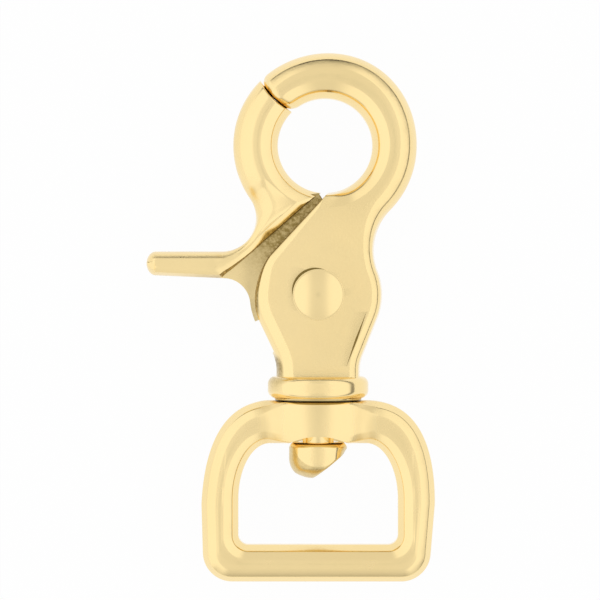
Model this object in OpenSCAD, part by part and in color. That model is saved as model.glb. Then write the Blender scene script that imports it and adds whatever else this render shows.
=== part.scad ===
// Square scissor snap: a cast hook, a sprung trigger that shuts its eye, and a
// square strap loop that turns on the hook's post.
// +X runs across the snap, +Y along it towards the hook's eye, +Z up through its
// thickness. The origin is the centre of the eye, half way through the thickness.

/* [Eye] */
// Diameter of the eye that hook and trigger close round
eye_d = 15.1; // [13.6:0.1:16.6]
// Width of the metal round the eye
ring_w = 7.1; // [6.4:0.1:7.8]
// Thickness of hook and trigger round the eye
ring_t = 8.6; // [7.8:0.1:9.4]
// Direction of the mouth, seen from the eye's centre
mouth_angle = 135; // [125:1:142]
// Gap between the two noses at the mouth
nose_gap = 0.3; // [0.15:0.05:0.6]
// Distance from the eye's centre to the rivet, along the snap
eye_to_rivet = 23.8; // [23:0.1:26]
// How far the eye's centre stands to the right of the swivel's axis
eye_shift = 1.1; // [0.4:0.1:1.8]
// How much the hook swells outwards, opposite the trigger
hook_swell = 0.35; // [0:0.05:0.6]

/* [Cheeks] */
// Diameter of the round cheeks
cheek_d = 20.8; // [20:0.1:21.6]
// How far the cheeks' centre lies to the left of the rivet
cheek_shift = 0.2; // [0:0.05:0.4]
// Thickness over both cheeks
body_t = 10.4; // [9.8:0.1:11.4]
// Width of the slot between the cheeks
slot_w = 5; // [4.6:0.1:5.4]
// Radius of the waist between ring and cheeks
waist_r = 9.2; // [8:0.1:10.4]
// Width of the neck above the collar
neck_w = 13.3; // [12.6:0.1:14.2]
// Radius where the cheeks run into the neck
neck_fillet_r = 6; // [4:0.5:8]
// Distance from the rivet to the collar
rivet_to_collar = 13; // [12.4:0.1:14.4]

/* [Cast edges] */
// How far a flank leans in between the parting land and the bevel
flank_w = 1; // [0.7:0.05:1.2]
// Width of the bevel on hook and trigger
bevel_w = 1.6; // [1.2:0.05:1.9]
// Depth of that bevel
bevel_h = 1.15; // [0.8:0.05:1.4]
// Height of the upright land along the parting line
land_h = 1.8; // [1.2:0.1:2.2]

/* [Trigger] */
// Reach of the finger piece, from the swivel's axis to its tip
finger_reach = 27.4; // [25:0.1:30]
// Height of the finger piece's upper edge above the rivet
finger_rise = 6.9; // [6.4:0.1:7.4]
// Width of the finger piece at its root
finger_w = 4.25; // [3.9:0.05:4.6]
// How much narrower the finger piece is at its tip
finger_taper = 0.45; // [0:0.05:0.7]
// Thickness of the finger piece at its tip
finger_t = 6.8; // [6.2:0.1:8]
// Radius of the crook between ring and finger piece
crook_r = 5.4; // [4.6:0.1:6.2]
// Slope of the shoulder that faces the cheeks
shoulder_angle = 221.5; // [220:0.5:224]
// Angle through which the trigger opens
open_angle = 28; // [20:1:32]

/* [Tang] */
// Radius of the tang's hub about the rivet
hub_r = 7.3; // [6.9:0.1:7.7]
// Radius of the tang's outer edge, at the slot's mouth
tang_r = 10.9; // [10.2:0.1:11.2]
// Radius between the tang and the finger piece
tang_fillet = 4.3; // [3:0.1:4.8]
// Play between the tang and each cheek
tang_play = 0.15; // [0.1:0.05:0.25]
// Clearance round the tang inside the slot
tang_gap = 0.35; // [0.25:0.05:0.5]

/* [Rivet] */
// Diameter of the rivet's shank
rivet_d = 4.2; // [3.8:0.1:4.6]
// Diameter of its heads
rivet_head_d = 8.1; // [7.4:0.1:9]
// Height of each head above its cheek
rivet_head_h = 0.9; // [0.6:0.05:1.2]
// Radial play of the trigger on the shank
rivet_play = 0.06; // [0.04:0.01:0.1]

/* [Spring] */
// Diameter of the spring's wire
wire_d = 0.7; // [0.5:0.05:0.8]
// Mean diameter of the spring's coil
coil_d = 6.2; // [5.9:0.1:6.5]
// Number of turns
coil_turns = 2.25; // [1.25:1:2.25]

/* [Swivel] */
// Diameter of the collar
collar_d = 16.1; // [15.4:0.1:17]
// Height of the collar
collar_h = 3.5; // [3:0.1:4]
// Diameter of the post that the loop turns on
post_d = 5; // [4.4:0.1:5.6]
// Radial play of the loop on the post
post_play = 0.08; // [0.04:0.01:0.1]
// Gap between the collar and the loop's boss
collar_gap = 0.4; // [0.2:0.05:0.6]
// Diameter of the peened knob at the post's end
knob_d = 9.3; // [8.4:0.1:9.8]
// Height of that knob
knob_h = 5.9; // [5.7:0.1:6.4]

/* [Loop] */
// Width of the strap that the loop takes
strap_w = 25.5; // [22:0.5:30]
// Inner height of the loop
strap_room = 16.2; // [14:0.1:19]
// Width of the loop's bars
bar_w = 5.9; // [5.4:0.1:6.5]
// Thickness of the loop's bars
bar_t = 7; // [6.4:0.1:7.6]
// Width of the loop's boss
boss_w = 14.8; // [14:0.1:15.6]
// Thickness of the boss in its middle
boss_t = 12.4; // [11.6:0.1:13.2]
// Height of the boss
boss_h = 7.1; // [6.6:0.1:7.8]
// Radius of the arch under the boss, over the knob
arch_r = 10; // [9:0.1:11]
// Height of that arch
arch_h = 1.6; // [1.5:0.05:1.9]

/* [Hidden] */
$fn = 64;
brass = [0.86, 0.72, 0.42];
pale_brass = [0.93, 0.8, 0.52];
steel = [0.7, 0.71, 0.72];

eye_r = eye_d / 2;
ring_r = eye_r + ring_w;
cheek_r = cheek_d / 2;
loft_skim = 0.06;                       // the eye's bore trims this off the lofts
rivet_at = [-eye_shift, -eye_to_rivet];
far = 60;                               // longer than anything that is cut

collar_top = -eye_to_rivet - rivet_to_collar;
boss_top = collar_top - collar_h - collar_gap;
boss_end = boss_top - boss_h;
end_play = 1.15;                        // how far the loop slides along the post
knob_top = boss_end + arch_h - end_play;
knob_end = knob_top - knob_h;
tang_t = slot_w - 2 * tang_play;

// Each level of a cast section: how deep it lies below the flat face, how far it is
// inset from the outline and how far it is drawn back from a nose. The last level is
// the upright land. The trigger's outer side is rounder than the rest of the ring.
ring_levels = [
    [0, flank_w + bevel_w, 0.9],
    [bevel_h, flank_w, 0.35],
    [bevel_h + 1.3, 0.35 * flank_w, 0.1],
    [0, 0, 0]
];
outer_levels = [
    [0, flank_w + bevel_w + 0.4, 0.9],
    [0.8 * bevel_h, flank_w + 0.3, 0.35],
    [bevel_h + 1.15, 0.25 * flank_w, 0.1],
    [0, 0, 0]
];
finger_levels = [
    [0, 0.95, 1],
    [0.7, 0.4, 0.4],
    [1.7, 0.14, 0.1],
    [0, 0, 0]
];
loop_levels = [
    [0, 2.2, 0],
    [0.95, 0.9, 0],
    [2, 0.32, 0],
    [0, 0, 0]
];
last_level = 3;

// Points and paths
function polar(r, a) = r * [cos(a), sin(a)];
function mix(a, b, f) = a + (b - a) * f;
function ease(f) = (1 - cos(180 * max(0, min(1, f)))) / 2;
function arc(c, r, a0, a1, n) = [for (i = [0:n]) c + polar(r, mix(a0, a1, i / n))];
function line(p, q, n) = [for (i = [0:n]) mix(p, q, i / n)];
function rest(path) = [for (i = [1:len(path) - 1]) path[i]];
function angle_of(v) = atan2(v.y, v.x);
function turn_of(v) = angle_of(v) < 0 ? angle_of(v) + 360 : angle_of(v);

// Where two circles meet, on the right of the way from the first to the second
function meet(p, r, q, s) =
    let (way = q - p, gap = norm(way), along = (gap * gap + r * r - s * s) / (2 * gap))
    p + way / gap * along + [way.y, -way.x] / gap * -sqrt(r * r - along * along);

// A point at height z
function lift(p, z) = [p.x, p.y, z];

// The ring of points round one station, from each side's points and levels
function section(left, right, half, left_levels, right_levels) =
    let (
        n = last_level,
        zl = [for (j = [0:n]) j == n ? land_h / 2 : half - left_levels[j][0]],
        zr = [for (j = [0:n]) j == n ? land_h / 2 : half - right_levels[j][0]]
    )
    concat(
        [for (j = [0:n]) lift(left[j], -zl[j])],
        [for (j = [n:-1:0]) lift(left[j], zl[j])],
        [for (j = [0:n]) lift(right[j], zr[j])],
        [for (j = [n:-1:0]) lift(right[j], -zr[j])]
    );

// Skins a row of such rings. A closed row joins its last ring to its first, and an
// open one is capped by strips across each end.
module skin(rings, closed = false) {
    count = len(rings);
    m = len(rings[0]);
    half = m / 2;
    spans = closed ? count : count - 1;
    sides = [
        for (k = [0:spans - 1])
        let (a = k * m, b = ((k + 1) % count) * m)
        for (i = [0:m - 1])
        let (j = (i + 1) % m)
        each [[a + i, b + j, b + i], [a + i, a + j, b + j]]
    ];
    top = (count - 1) * m;
    caps = closed ? [] : [
        for (i = [0:half - 2])
        let (p = i, q = i + 1, r = m - 2 - i, s = m - 1 - i)
        each [
            [p, r, q], [p, s, r],
            [top + p, top + q, top + r], [top + p, top + r, top + s]
        ]
    ];
    points = [for (ring = rings) each ring];
    polyhedron(points, concat(sides, caps), convexity = 8);
}

// Hook outline at an inset d, drawn back by e at its nose. Both sides run from the
// nose over the eye, past the waist and round the cheeks to the neck.
notch_angle = -90.5;                    // where the hook's side of the eye ends
corner_angle = 264.5;                   // where the trigger's side of it ends
split_angle = -20;
inner_r = eye_r - loft_skim;
cheek_at = rivet_at - [cheek_shift, 0];
waist_at = meet([0, 0], ring_r + waist_r, cheek_at, cheek_r + waist_r);
neck_land = 1;                          // the neck runs straight for this far
neck_end = [rivet_at.x, collar_top];
notch_at = polar(inner_r, notch_angle);
notch_way = notch_at - cheek_at;
tangent_angle = angle_of(notch_way) + acos(cheek_r / norm(notch_way));

// Centre of the fillet between cheek and neck, on the left (-1) or right (1), and how
// far the cheek turns in before it runs straight towards that fillet
function neck_fillet_at(side) =
    neck_end + [side * (neck_w / 2 + neck_fillet_r), neck_land];
function neck_turn(side) =
    let (way = neck_fillet_at(side) - cheek_at)
    atan2(-way.y, side * way.x) - acos(min(1, (cheek_r + neck_fillet_r) / norm(way)));

// The cheeks' left edge is cut nearly upright beside the trigger, with a narrow bevel,
// and widens again towards the neck. f is -1 at the eye, 0 where the straight edge
// touches the round cheek and 1 where the neck begins.
cut_lean = 0.1;
function widen(at_eye, at_touch, f) =
    f < 0 ? mix(at_touch, at_eye, -f) : mix(at_touch, 1, min(1, 3.5 * f));
function cheek_inset(d, f) =
    flank_w * widen(0.5, 0.72, f)
    - max(0, flank_w - d) * mix(cut_lean, 1, ease(f))
    + max(0, d - flank_w) * widen(0.3, 0.7, f);

// Where the cheeks' straight edge, inset by c, meets the eye's edge inset by d
function notch(d, c) =
    let (
        out = polar(1, tangent_angle),
        along = polar(1, tangent_angle - 90),
        foot = cheek_at + out * (cheek_r - c),
        b = foot * along,
        q = foot * foot - pow(inner_r + d, 2)
    )
    foot - along * (b + sqrt(b * b - q));

function nose_turn(r, e) = asin((nose_gap / 2 + e) / r);

function hook_left(d, e) =
    let (
        r = inner_r + d,
        corner = notch(d, cheek_inset(d, -1)),
        touch = cheek_at + polar(cheek_r - cheek_inset(d, 0), tangent_angle),
        turn = neck_turn(-1),
        bottom = neck_end + [-neck_w / 2 + d, 0]
    )
    concat(
        arc([0, 0], r, mouth_angle - nose_turn(r, e), split_angle, 15),
        rest(arc([0, 0], r, split_angle, angle_of(corner), 8)),
        rest(line(corner, touch, 5)),
        [for (i = [1:4])
            cheek_at + polar(cheek_r - cheek_inset(d, i / 7), mix(tangent_angle, 180, i / 4))],
        [for (i = [1:3])
            cheek_at + polar(cheek_r - cheek_inset(d, (4 + i) / 7), 180 + turn * i / 3)],
        arc(neck_fillet_at(-1), neck_fillet_r + d, turn, 0, 4),
        [bottom - [0, collar_h / 2]]
    );

// The hook swells a little on its outer side, between these directions
swell_from = -5;
swell_to = 115;
function swell(a) =
    let (f = (a - swell_from) / (swell_to - swell_from))
    hook_swell * pow(sin(180 * max(0, min(1, f))), 2);

function hook_right(d, e) =
    let (
        r = ring_r - d,
        ring_end = angle_of(waist_at),
        cheek_start = angle_of(waist_at - cheek_at),
        turn = neck_turn(1),
        bottom = neck_end + [neck_w / 2 - d, 0]
    )
    concat(
        [for (i = [0:15])
            let (a = mix(mouth_angle - nose_turn(r, e), split_angle, i / 15))
            polar(r + swell(a), a)],
        rest(arc([0, 0], r, split_angle, ring_end, 3)),
        rest(arc(waist_at, waist_r + d, ring_end + 180, 180, 5)),
        rest(arc(waist_at, waist_r + d, 180, 180 + cheek_start, 4)),
        rest(arc(cheek_at, cheek_r - d, cheek_start, 0, 5)),
        rest(arc(cheek_at, cheek_r - d, 0, -turn, 3)),
        arc(neck_fillet_at(1), neck_fillet_r + d, 180 - turn, 180, 4),
        [bottom - [0, collar_h / 2]]
    );

// Half thickness of the hook at a height y: it swells from the ring to the cheeks
thick_from = -2;
thick_to = 6 - eye_to_rivet;
function hook_half(y) =
    mix(ring_t, body_t, ease((y - thick_from) / (thick_to - thick_from))) / 2;

module hook_casting() {
    left = [for (level = ring_levels) hook_left(level[1], level[2])];
    right = [for (level = ring_levels) hook_right(level[1], level[2])];
    skin([
        for (k = [0:len(left[0]) - 1])
        section(
            [for (j = [0:last_level]) left[j][k]],
            [for (j = [0:last_level]) right[j][k]],
            hook_half((left[last_level][k].y + right[last_level][k].y) / 2),
            ring_levels, ring_levels
        )
    ]);
}

collar_edge = 1.2;
knob_edge = 1;
knob_foot_r = 3.3;                      // how round the knob's far end is
edge_fn = 24;                           // points round a small turned edge

// Half of a disc with rounded rims, from y0 down to y1
module disc_profile(r, y0, y1, edge) {
    translate([0, y1]) square([r - edge, y0 - y1]);
    translate([0, y1 + edge]) square([r, y0 - y1 - 2 * edge]);
    translate([r - edge, y0 - edge]) circle(edge, $fn = edge_fn);
    translate([r - edge, y1 + edge]) circle(edge, $fn = edge_fn);
}

// Post, collar and peened knob, as one profile down the swivel's axis
module swivel_profile() {
    r = knob_d / 2;
    foot_y = knob_end + knob_foot_r;
    disc_profile(collar_d / 2, collar_top, collar_top - collar_h, collar_edge);
    translate([0, knob_top - 1]) square([post_d / 2, collar_top - knob_top]);
    disc_profile(r, knob_top, foot_y - knob_edge, knob_edge);
    translate([0, knob_end]) square([r - knob_foot_r, knob_foot_r]);
    intersection() {
        translate([r - knob_foot_r, foot_y]) circle(knob_foot_r);
        translate([0, knob_end]) square([r, knob_foot_r]);
    }
}

module swivel_post() {
    translate([rivet_at.x, 0, 0])
        rotate([90, 0, 0])
        rotate_extrude()
        mirror([0, 1])
        swivel_profile();
}

// The tang's right edge runs from the notch to the hub
tang_corner = polar(eye_r + 0.9, corner_angle + 2);
tang_way = tang_corner - rivet_at;
tang_reach = norm(tang_way);
hub_touch = angle_of(tang_way) - acos(hub_r / tang_reach);
heel_angle = 203;

// Slot between the cheeks: the hub's well, the tang's sweep and its way out
module slot_shape() {
    r = hub_r + tang_gap;
    stop = heel_angle + open_angle + 1;
    edge = polar(tang_gap, hub_touch);
    polygon(concat(
        [tang_corner + edge + [0, 3]],
        [tang_corner + edge],
        arc(rivet_at, r, hub_touch, stop - 360, 24),
        [rivet_at + polar(far, stop)],
        [rivet_at + polar(far * 2, 170)],
        [rivet_at + polar(far, 110)]
    ));
}

// The spring's fixed leg stands in this pocket in the slot's floor
leg_reach = hub_r + tang_gap + 1;
leg_gap = 0.25;

module hook_body() {
    color(brass) difference() {
        union() {
            hook_casting();
            swivel_post();
        }
        linear_extrude(slot_w, center = true) slot_shape();
        cylinder(r = eye_r, h = far, center = true);
        translate(lift(rivet_at, 0)) cylinder(r = rivet_d / 2, h = far, center = true);
        translate(lift(rivet_at, spring_z0))
            translate([coil_d / 2 - wire_d / 2 - leg_gap, -leg_reach - 0.3, -wire_d / 2 - leg_gap])
            cube([wire_d + 2 * leg_gap, leg_reach - 5, wire_d + 2 * leg_gap]);
        knob_cut();
    }
}

// The knob was headed over by hand. It is cut off at a slant on its right, and slopes
// away below a worn edge in front.
knob_cut_angle = -51;
knob_cut_reach = 3.05;                  // from the middle of the knob to the cut
knob_front_slope = 48;
knob_front_reach = 4.55;

module knob_cut() {
    translate([rivet_at.x, knob_end + knob_d / 2, 0]) {
        rotate([0, 0, knob_cut_angle])
            translate([knob_cut_reach, -knob_d, -knob_d])
            cube(2 * knob_d);
        rotate([knob_front_slope, 0, 0])
            translate([-knob_d, -knob_d, knob_front_reach])
            cube(2 * knob_d);
    }
}

// Trigger outline, from its nose down the ring's left side, round the crook and out
// along the finger piece. f runs from 0 on the ring to 1 on the finger piece.
finger_top = -eye_to_rivet + finger_rise;
crook_y = finger_top + crook_r;
crook_at = [-sqrt(pow(ring_r + crook_r, 2) - crook_y * crook_y), crook_y];
crook_angle = turn_of(crook_at);
finger_tip = rivet_at.x - finger_reach;
finger_foot = finger_top - finger_w;
shoulder_out = polar(1, shoulder_angle - 90);
shoulder_way = polar(1, shoulder_angle);
shoulder_h = polar(inner_r, corner_angle) * shoulder_out;
shoulder_bevel = [bevel_w, 0.25, 0, 0];
throat_u = shoulder_way * crook_at;     // the crook comes nearest to the shoulder here
throat_angle = shoulder_angle - 270;
jaw_split = 208;                        // where the ring's stations turn to the crook's
land_split = 215;

function level_of(j, f) = mix(ring_levels[j], finger_levels[j], f);
function outer_of(j, f) = mix(outer_levels[j], finger_levels[j], f);
function shoulder_point(u, s) = shoulder_out * (shoulder_h + s) + shoulder_way * u;
function shoulder_start(d, s) = sqrt(pow(inner_r + d, 2) - pow(shoulder_h + s, 2));
function shoulder_end(d, s) =
    (finger_foot + d - shoulder_out.y * (shoulder_h + s)) / shoulder_way.y;
function tip_r(d) = min(1.1, (finger_w - finger_taper) / 2 - d - 0.06);

function jaw_left(j) =
    let (ring = outer_of(j, 0), tip = outer_of(j, 1), r = ring_r - ring[1], rt = tip_r(tip[1]))
    concat(
        arc([0, 0], r, mouth_angle + nose_turn(r, ring[2]), jaw_split, 8),
        [for (i = [1:3])
            polar(ring_r - outer_of(j, finger_share(8 + i))[1], mix(jaw_split, crook_angle, i / 3))],
        [for (i = [1:5])
            crook_at + polar(crook_r + outer_of(j, finger_share(11 + i))[1],
                mix(crook_angle - 180, throat_angle, i / 5))],
        [for (i = [1:3])
            crook_at + polar(crook_r + tip[1], mix(throat_angle, -90, i / 3))],
        [for (i = [1:5])
            mix([crook_at.x, finger_top - tip[1]],
                [finger_tip + tip[2] + rt, finger_top - tip[1]], i / 5)],
        [for (i = [1:4])
            [finger_tip + tip[2] + rt, finger_top - tip[1] - rt] + polar(rt, 90 + 18 * i)]
    );

function jaw_right(j) =
    let (
        ring = level_of(j, 0),
        tip = level_of(j, 1),
        s0 = shoulder_bevel[j],
        s1 = min(s0, tip[1]),
        r = inner_r + ring[1],
        rt = tip_r(tip[1]),
        corner = shoulder_point(shoulder_start(ring[1], s0), s0),
        throat = shoulder_point(throat_u, s1),
        root = shoulder_point(shoulder_end(tip[1], s1), s1),
        tip_foot = finger_foot + finger_taper + tip[1]
    )
    concat(
        arc([0, 0], r, mouth_angle + nose_turn(r, ring[2]), land_split, 8),
        rest(arc([0, 0], r, land_split, turn_of(corner), 5)),
        rest(line(corner, throat, 3)),
        rest(line(throat, root, 3)),
        rest(line(root, [finger_tip + tip[2] + rt, tip_foot], 5)),
        [for (i = [1:4])
            [finger_tip + tip[2] + rt, tip_foot + rt] + polar(rt, 270 - 18 * i)]
    );

// How far along the trigger a station counts as finger piece: none on the ring, all
// of it from the throat on
function finger_share(k) = ease((k - 8) / 6);

module jaw_casting() {
    left = [for (j = [0:last_level]) jaw_left(j)];
    right = [for (j = [0:last_level]) jaw_right(j)];
    count = len(left[0]);
    skin([
        for (k = [0:count - 1])
        let (f = finger_share(k), reach = ease((k - 14) / (count - 15)))
        section(
            [for (j = [0:last_level]) left[j][k]],
            [for (j = [0:last_level]) right[j][k]],
            mix(ring_t, finger_t, reach) / 2,
            [for (j = [0:last_level]) outer_of(j, f)],
            [for (j = [0:last_level]) level_of(j, f)]
        )
    ]);
}

// The tang: a hub on the rivet, a web up to the shoulder and a heel that stops it
fillet_at = [
    rivet_at.x - sqrt(pow(tang_r + tang_fillet, 2)
        - pow(finger_foot - tang_fillet - rivet_at.y, 2)),
    finger_foot - tang_fillet
];
fillet_angle = turn_of(fillet_at - rivet_at);

module tang_shape() {
    inside = 1.4;                       // how deep the web runs into the thick part
    polygon(concat(
        [tang_corner],
        arc(rivet_at, hub_r, hub_touch, heel_angle - 360, 24),
        arc(rivet_at, tang_r, heel_angle, fillet_angle, 5),
        rest(arc(fillet_at, tang_fillet, fillet_angle - 180, 90, 6)),
        [shoulder_point(shoulder_end(0, 0) - 0.3, -0.05)],
        [shoulder_point(shoulder_end(0, 0) - 3, inside)],
        [shoulder_point(shoulder_start(0, 0) + 2.2, inside)],
        [shoulder_point(shoulder_start(0, 0) + 0.3, 0.1)]
    ));
}

// The spring lies in a well in the tang's lower side, and its fixed leg leaves
// through a window that leaves room for the trigger's swing
well_gap = 0.5;
well_r = coil_d / 2 + wire_d / 2 + well_gap;
coil_pitch = wire_d + 0.08;
spring_z0 = -tang_t / 2 + wire_d / 2 + 0.12;
spring_z1 = spring_z0 + coil_turns * coil_pitch;
well_top = spring_z1 + wire_d / 2 + 0.15;

coil_end = 360 * coil_turns;
leg_bend = wire_d * 0.8;                // how far on the leg stands up beyond the coil's end

module spring_window() {
    leg_in = -acos(min(0.99, (coil_d / 2 + wire_d / 2 + leg_gap) / well_r));
    leg_out = atan2(-hub_r, coil_d / 2);
    polygon(concat(
        [[0, 0]],
        arc([0, 0], far, leg_in + 3, leg_out - open_angle - 9, 6)
    ));
}

module trigger_jaw() {
    color(pale_brass) difference() {
        union() {
            difference() {
                jaw_casting();
                cylinder(r = eye_r, h = 2 * ring_t, center = true);
            }
            linear_extrude(tang_t, center = true) tang_shape();
        }
        translate(lift(rivet_at, 0)) {
            cylinder(r = rivet_d / 2 + rivet_play, h = far, center = true);
            translate([0, 0, well_top - far]) cylinder(r = well_r, h = far);
            translate([0, 0, spring_z0 + wire_d / 2 + leg_gap - far])
                linear_extrude(far) spring_window();
            translate(lift(polar(coil_d / 2, coil_end) + polar(leg_bend / 2, coil_end + 90), 0))
                cylinder(r = (wire_d + leg_bend) / 2 + leg_gap, h = far, center = true);
        }
    }
}

// Rivet: a shank through both cheeks with a low domed head on each
module pivot_rivet() {
    r = rivet_head_d / 2;
    dome_r = (r * r + rivet_head_h * rivet_head_h) / (2 * rivet_head_h);
    seat = hook_half(rivet_at.y);
    color(brass) translate(lift(rivet_at, 0)) {
        cylinder(r = rivet_d / 2, h = 2 * seat, center = true);
        for (side = [0, 1]) mirror([0, 0, side]) translate([0, 0, seat])
            rotate_extrude() intersection() {
                translate([0, rivet_head_h - dome_r]) circle(dome_r);
                square([r, rivet_head_h]);
            }
    }
}

// Spring: a leg along -Y, a coil about the rivet and a leg up into the tang's web
function spring_coil(n) = [
    for (i = [0:n])
    let (a = 360 * coil_turns * i / n, way = polar(1, a + 90))
    [lift(polar(coil_d / 2, a), spring_z0 + coil_pitch * coil_turns * i / n),
        lift(way, 0), lift(polar(1, a), 0)]
];

module sweep(stations, r, sides = 8) {
    rings = [
        for (st = stations)
        let (v = cross(st[2], st[1]))
        [for (i = [0:sides - 1])
            st[0] + r * (cos(360 * i / sides) * st[2] + sin(360 * i / sides) * v)]
    ];
    count = len(rings);
    sides_of = [
        for (k = [0:count - 2], i = [0:sides - 1])
        let (a = k * sides, b = a + sides, j = (i + 1) % sides)
        each [[a + i, b + j, b + i], [a + i, a + j, b + j]]
    ];
    ends = [
        for (i = [1:sides - 2])
        let (t = (count - 1) * sides)
        each [[0, i + 1, i], [t, t + i, t + i + 1]]
    ];
    polyhedron([for (ring = rings) each ring], concat(sides_of, ends), convexity = 6);
}

module torsion_spring() {
    coil = spring_coil(40);
    start = coil[0];
    end = coil[len(coil) - 1];
    up = [0, 0, 1];
    color(steel) translate(lift(rivet_at, 0)) sweep(concat(
        [[start[0] - [0, leg_reach, 0], start[1], start[2]]],
        coil,
        [[end[0] + (end[1] * 0.8 + up * 0.35) * leg_bend, (end[1] + up) / sqrt(2), end[2]]],
        [[end[0] + end[1] * leg_bend + up * (leg_bend + 1), up, end[2]]]
    ), wire_d / 2);
}

// Loop outline: inner and outer sides from the middle of its top, clockwise
loop_x = rivet_at.x;
room_top = boss_end + 0.3;
room_end = room_top - strap_room;
loop_end = room_end - bar_w;
inner_w = strap_w / 2;
outer_w = inner_w + bar_w;
boss_run = boss_w / 2 + 0.3;            // the loop's top runs straight for this far
inner_top_h = 9;                        // how far down its inner corners reach
inner_end_r = 1.6;
outer_end_r = 4.7;
bow_y = room_top - strap_room * 0.6;    // where the loop is widest
side_lean = 0.7;                        // how far its sides lean in below that
side_skew = 0.35;                       // the right side leans in more than the left,
shoulder_skew = 0.5;                    // and its shoulder stands out more

function bezier(p, q, r, s, t) =
    pow(1 - t, 3) * p + 3 * t * pow(1 - t, 2) * q + 3 * t * t * (1 - t) * r + pow(t, 3) * s;

function loop_inner() = concat(
    line([0, room_top], [boss_run, room_top], 5),
    [for (i = [1:8])
        let (a = 90 - 90 * i / 8)
        [mix(boss_run, inner_w, cos(a)), room_top - inner_top_h * (1 - sin(a))]],
    rest(line([inner_w, room_top - inner_top_h], [inner_w, room_end + inner_end_r], 6)),
    rest(arc([inner_w - inner_end_r, room_end + inner_end_r], inner_end_r, 0, -90, 6)),
    rest(line([inner_w - inner_end_r, room_end], [0, room_end], 3))
);

// side is 1 on the right and -1 on the left
function shoulder_curve(t, side) =
    let (out = shoulder_skew * max(0, side))
    bezier(
        [boss_run + 0.6, boss_top],
        [outer_w - 3.5 + out, boss_top - 0.6 + out / 2],
        [outer_w - 0.45 + out, boss_end + out],
        [outer_w, bow_y],
        t
    );

function loop_outer(side) =
    let (
        inward = side_lean + side_skew * side,
        foot = [outer_w - inward, loop_end],
        lean = atan2(inward, bow_y - loop_end),
        centre = [
            foot.x - outer_end_r / cos(lean) + outer_end_r * tan(lean),
            loop_end + outer_end_r
        ]
    )
    concat(
        line([0, boss_top], shoulder_curve(0, side), 5),
        [for (i = [1:8]) shoulder_curve(i / 8 * 0.72, side)],
        [for (i = [1:3]) shoulder_curve(mix(0.72, 1, i / 3), side)],
        rest(line([outer_w, bow_y], centre + polar(outer_end_r, -lean), 3)),
        rest(arc(centre, outer_end_r, -lean, -90, 6)),
        rest(line([centre.x, loop_end], [0, loop_end], 3))
    );

// A closed path from its right half and the mirror of its left one
function whole(right, left) =
    concat(right, [for (i = [len(left) - 2:-1:1]) [-left[i].x, left[i].y]]);

// Moves a closed path's points sideways by d, to the right of its way when positive
function inset(path, d) = [
    for (i = [0:len(path) - 1])
    let (
        n = len(path),
        way = path[(i + 1) % n] - path[(i + n - 1) % n],
        out = [way.y, -way.x] / norm(way)
    )
    path[i] + out * d
];

// The boss swells out of the loop's top like a lens. There the section has an upright
// upper side, and a lower one that is cut back.
boss_levels_in = [
    [0, 1.3, 0],
    [1.1, 0, 0],
    [2.3, 0, 0],
    [0, 0, 0]
];
boss_levels_out = [
    [0, 0.3, 0],
    [0.35, 0, 0],
    [1.6, 0, 0],
    [0, 0, 0]
];
boss_r = (pow(boss_w / 2, 2) + pow((boss_t - bar_t) / 2, 2)) / (boss_t - bar_t);
boss_blend = 1.6;                       // the sections change this far either side of its edge

function boss_half(x) =
    abs(x) < boss_w / 2 ? boss_t / 2 - boss_r + sqrt(pow(boss_r, 2) - x * x) : bar_t / 2;
function boss_share(x) = 1 - ease((abs(x) - boss_w / 2 + boss_blend) / (2 * boss_blend));

module loop_casting() {
    inner = whole(loop_inner(), loop_inner());
    outer = whole(loop_outer(1), loop_outer(-1));
    share = [for (p = outer) p.y > boss_end ? boss_share(p.x) : 0];
    skin([
        for (k = [0:len(inner) - 1])
        let (
            into = [for (j = [0:last_level]) mix(loop_levels[j], boss_levels_in[j], share[k])],
            out = [for (j = [0:last_level]) mix(loop_levels[j], boss_levels_out[j], share[k])]
        )
        section(
            [for (level = into) inset(inner, -level[1])[k]],
            [for (level = out) inset(outer, level[1])[k]],
            share[k] > 0 ? boss_half(outer[k].x) : bar_t / 2,
            into, out
        )
    ], closed = true);
}

module swivel_loop() {
    color(pale_brass) difference() {
        translate([loop_x, 0, 0]) loop_casting();
        translate([loop_x, boss_end + arch_h - arch_r, 0]) intersection() {
            cylinder(r = arch_r, h = far, center = true);
            translate([0, arch_r, 0]) cube([far, arch_h * 3, far], center = true);
        }
        translate([loop_x, boss_top, 0]) rotate([90, 0, 0])
            cylinder(r = post_d / 2 + post_play, h = boss_h * 2, center = true);
    }
}

hook_body();
trigger_jaw();
pivot_rivet();
torsion_spring();
swivel_loop();
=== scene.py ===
from math import acos, asin, atan2, cos, degrees, hypot, pi, radians, sin, sqrt, tan

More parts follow.
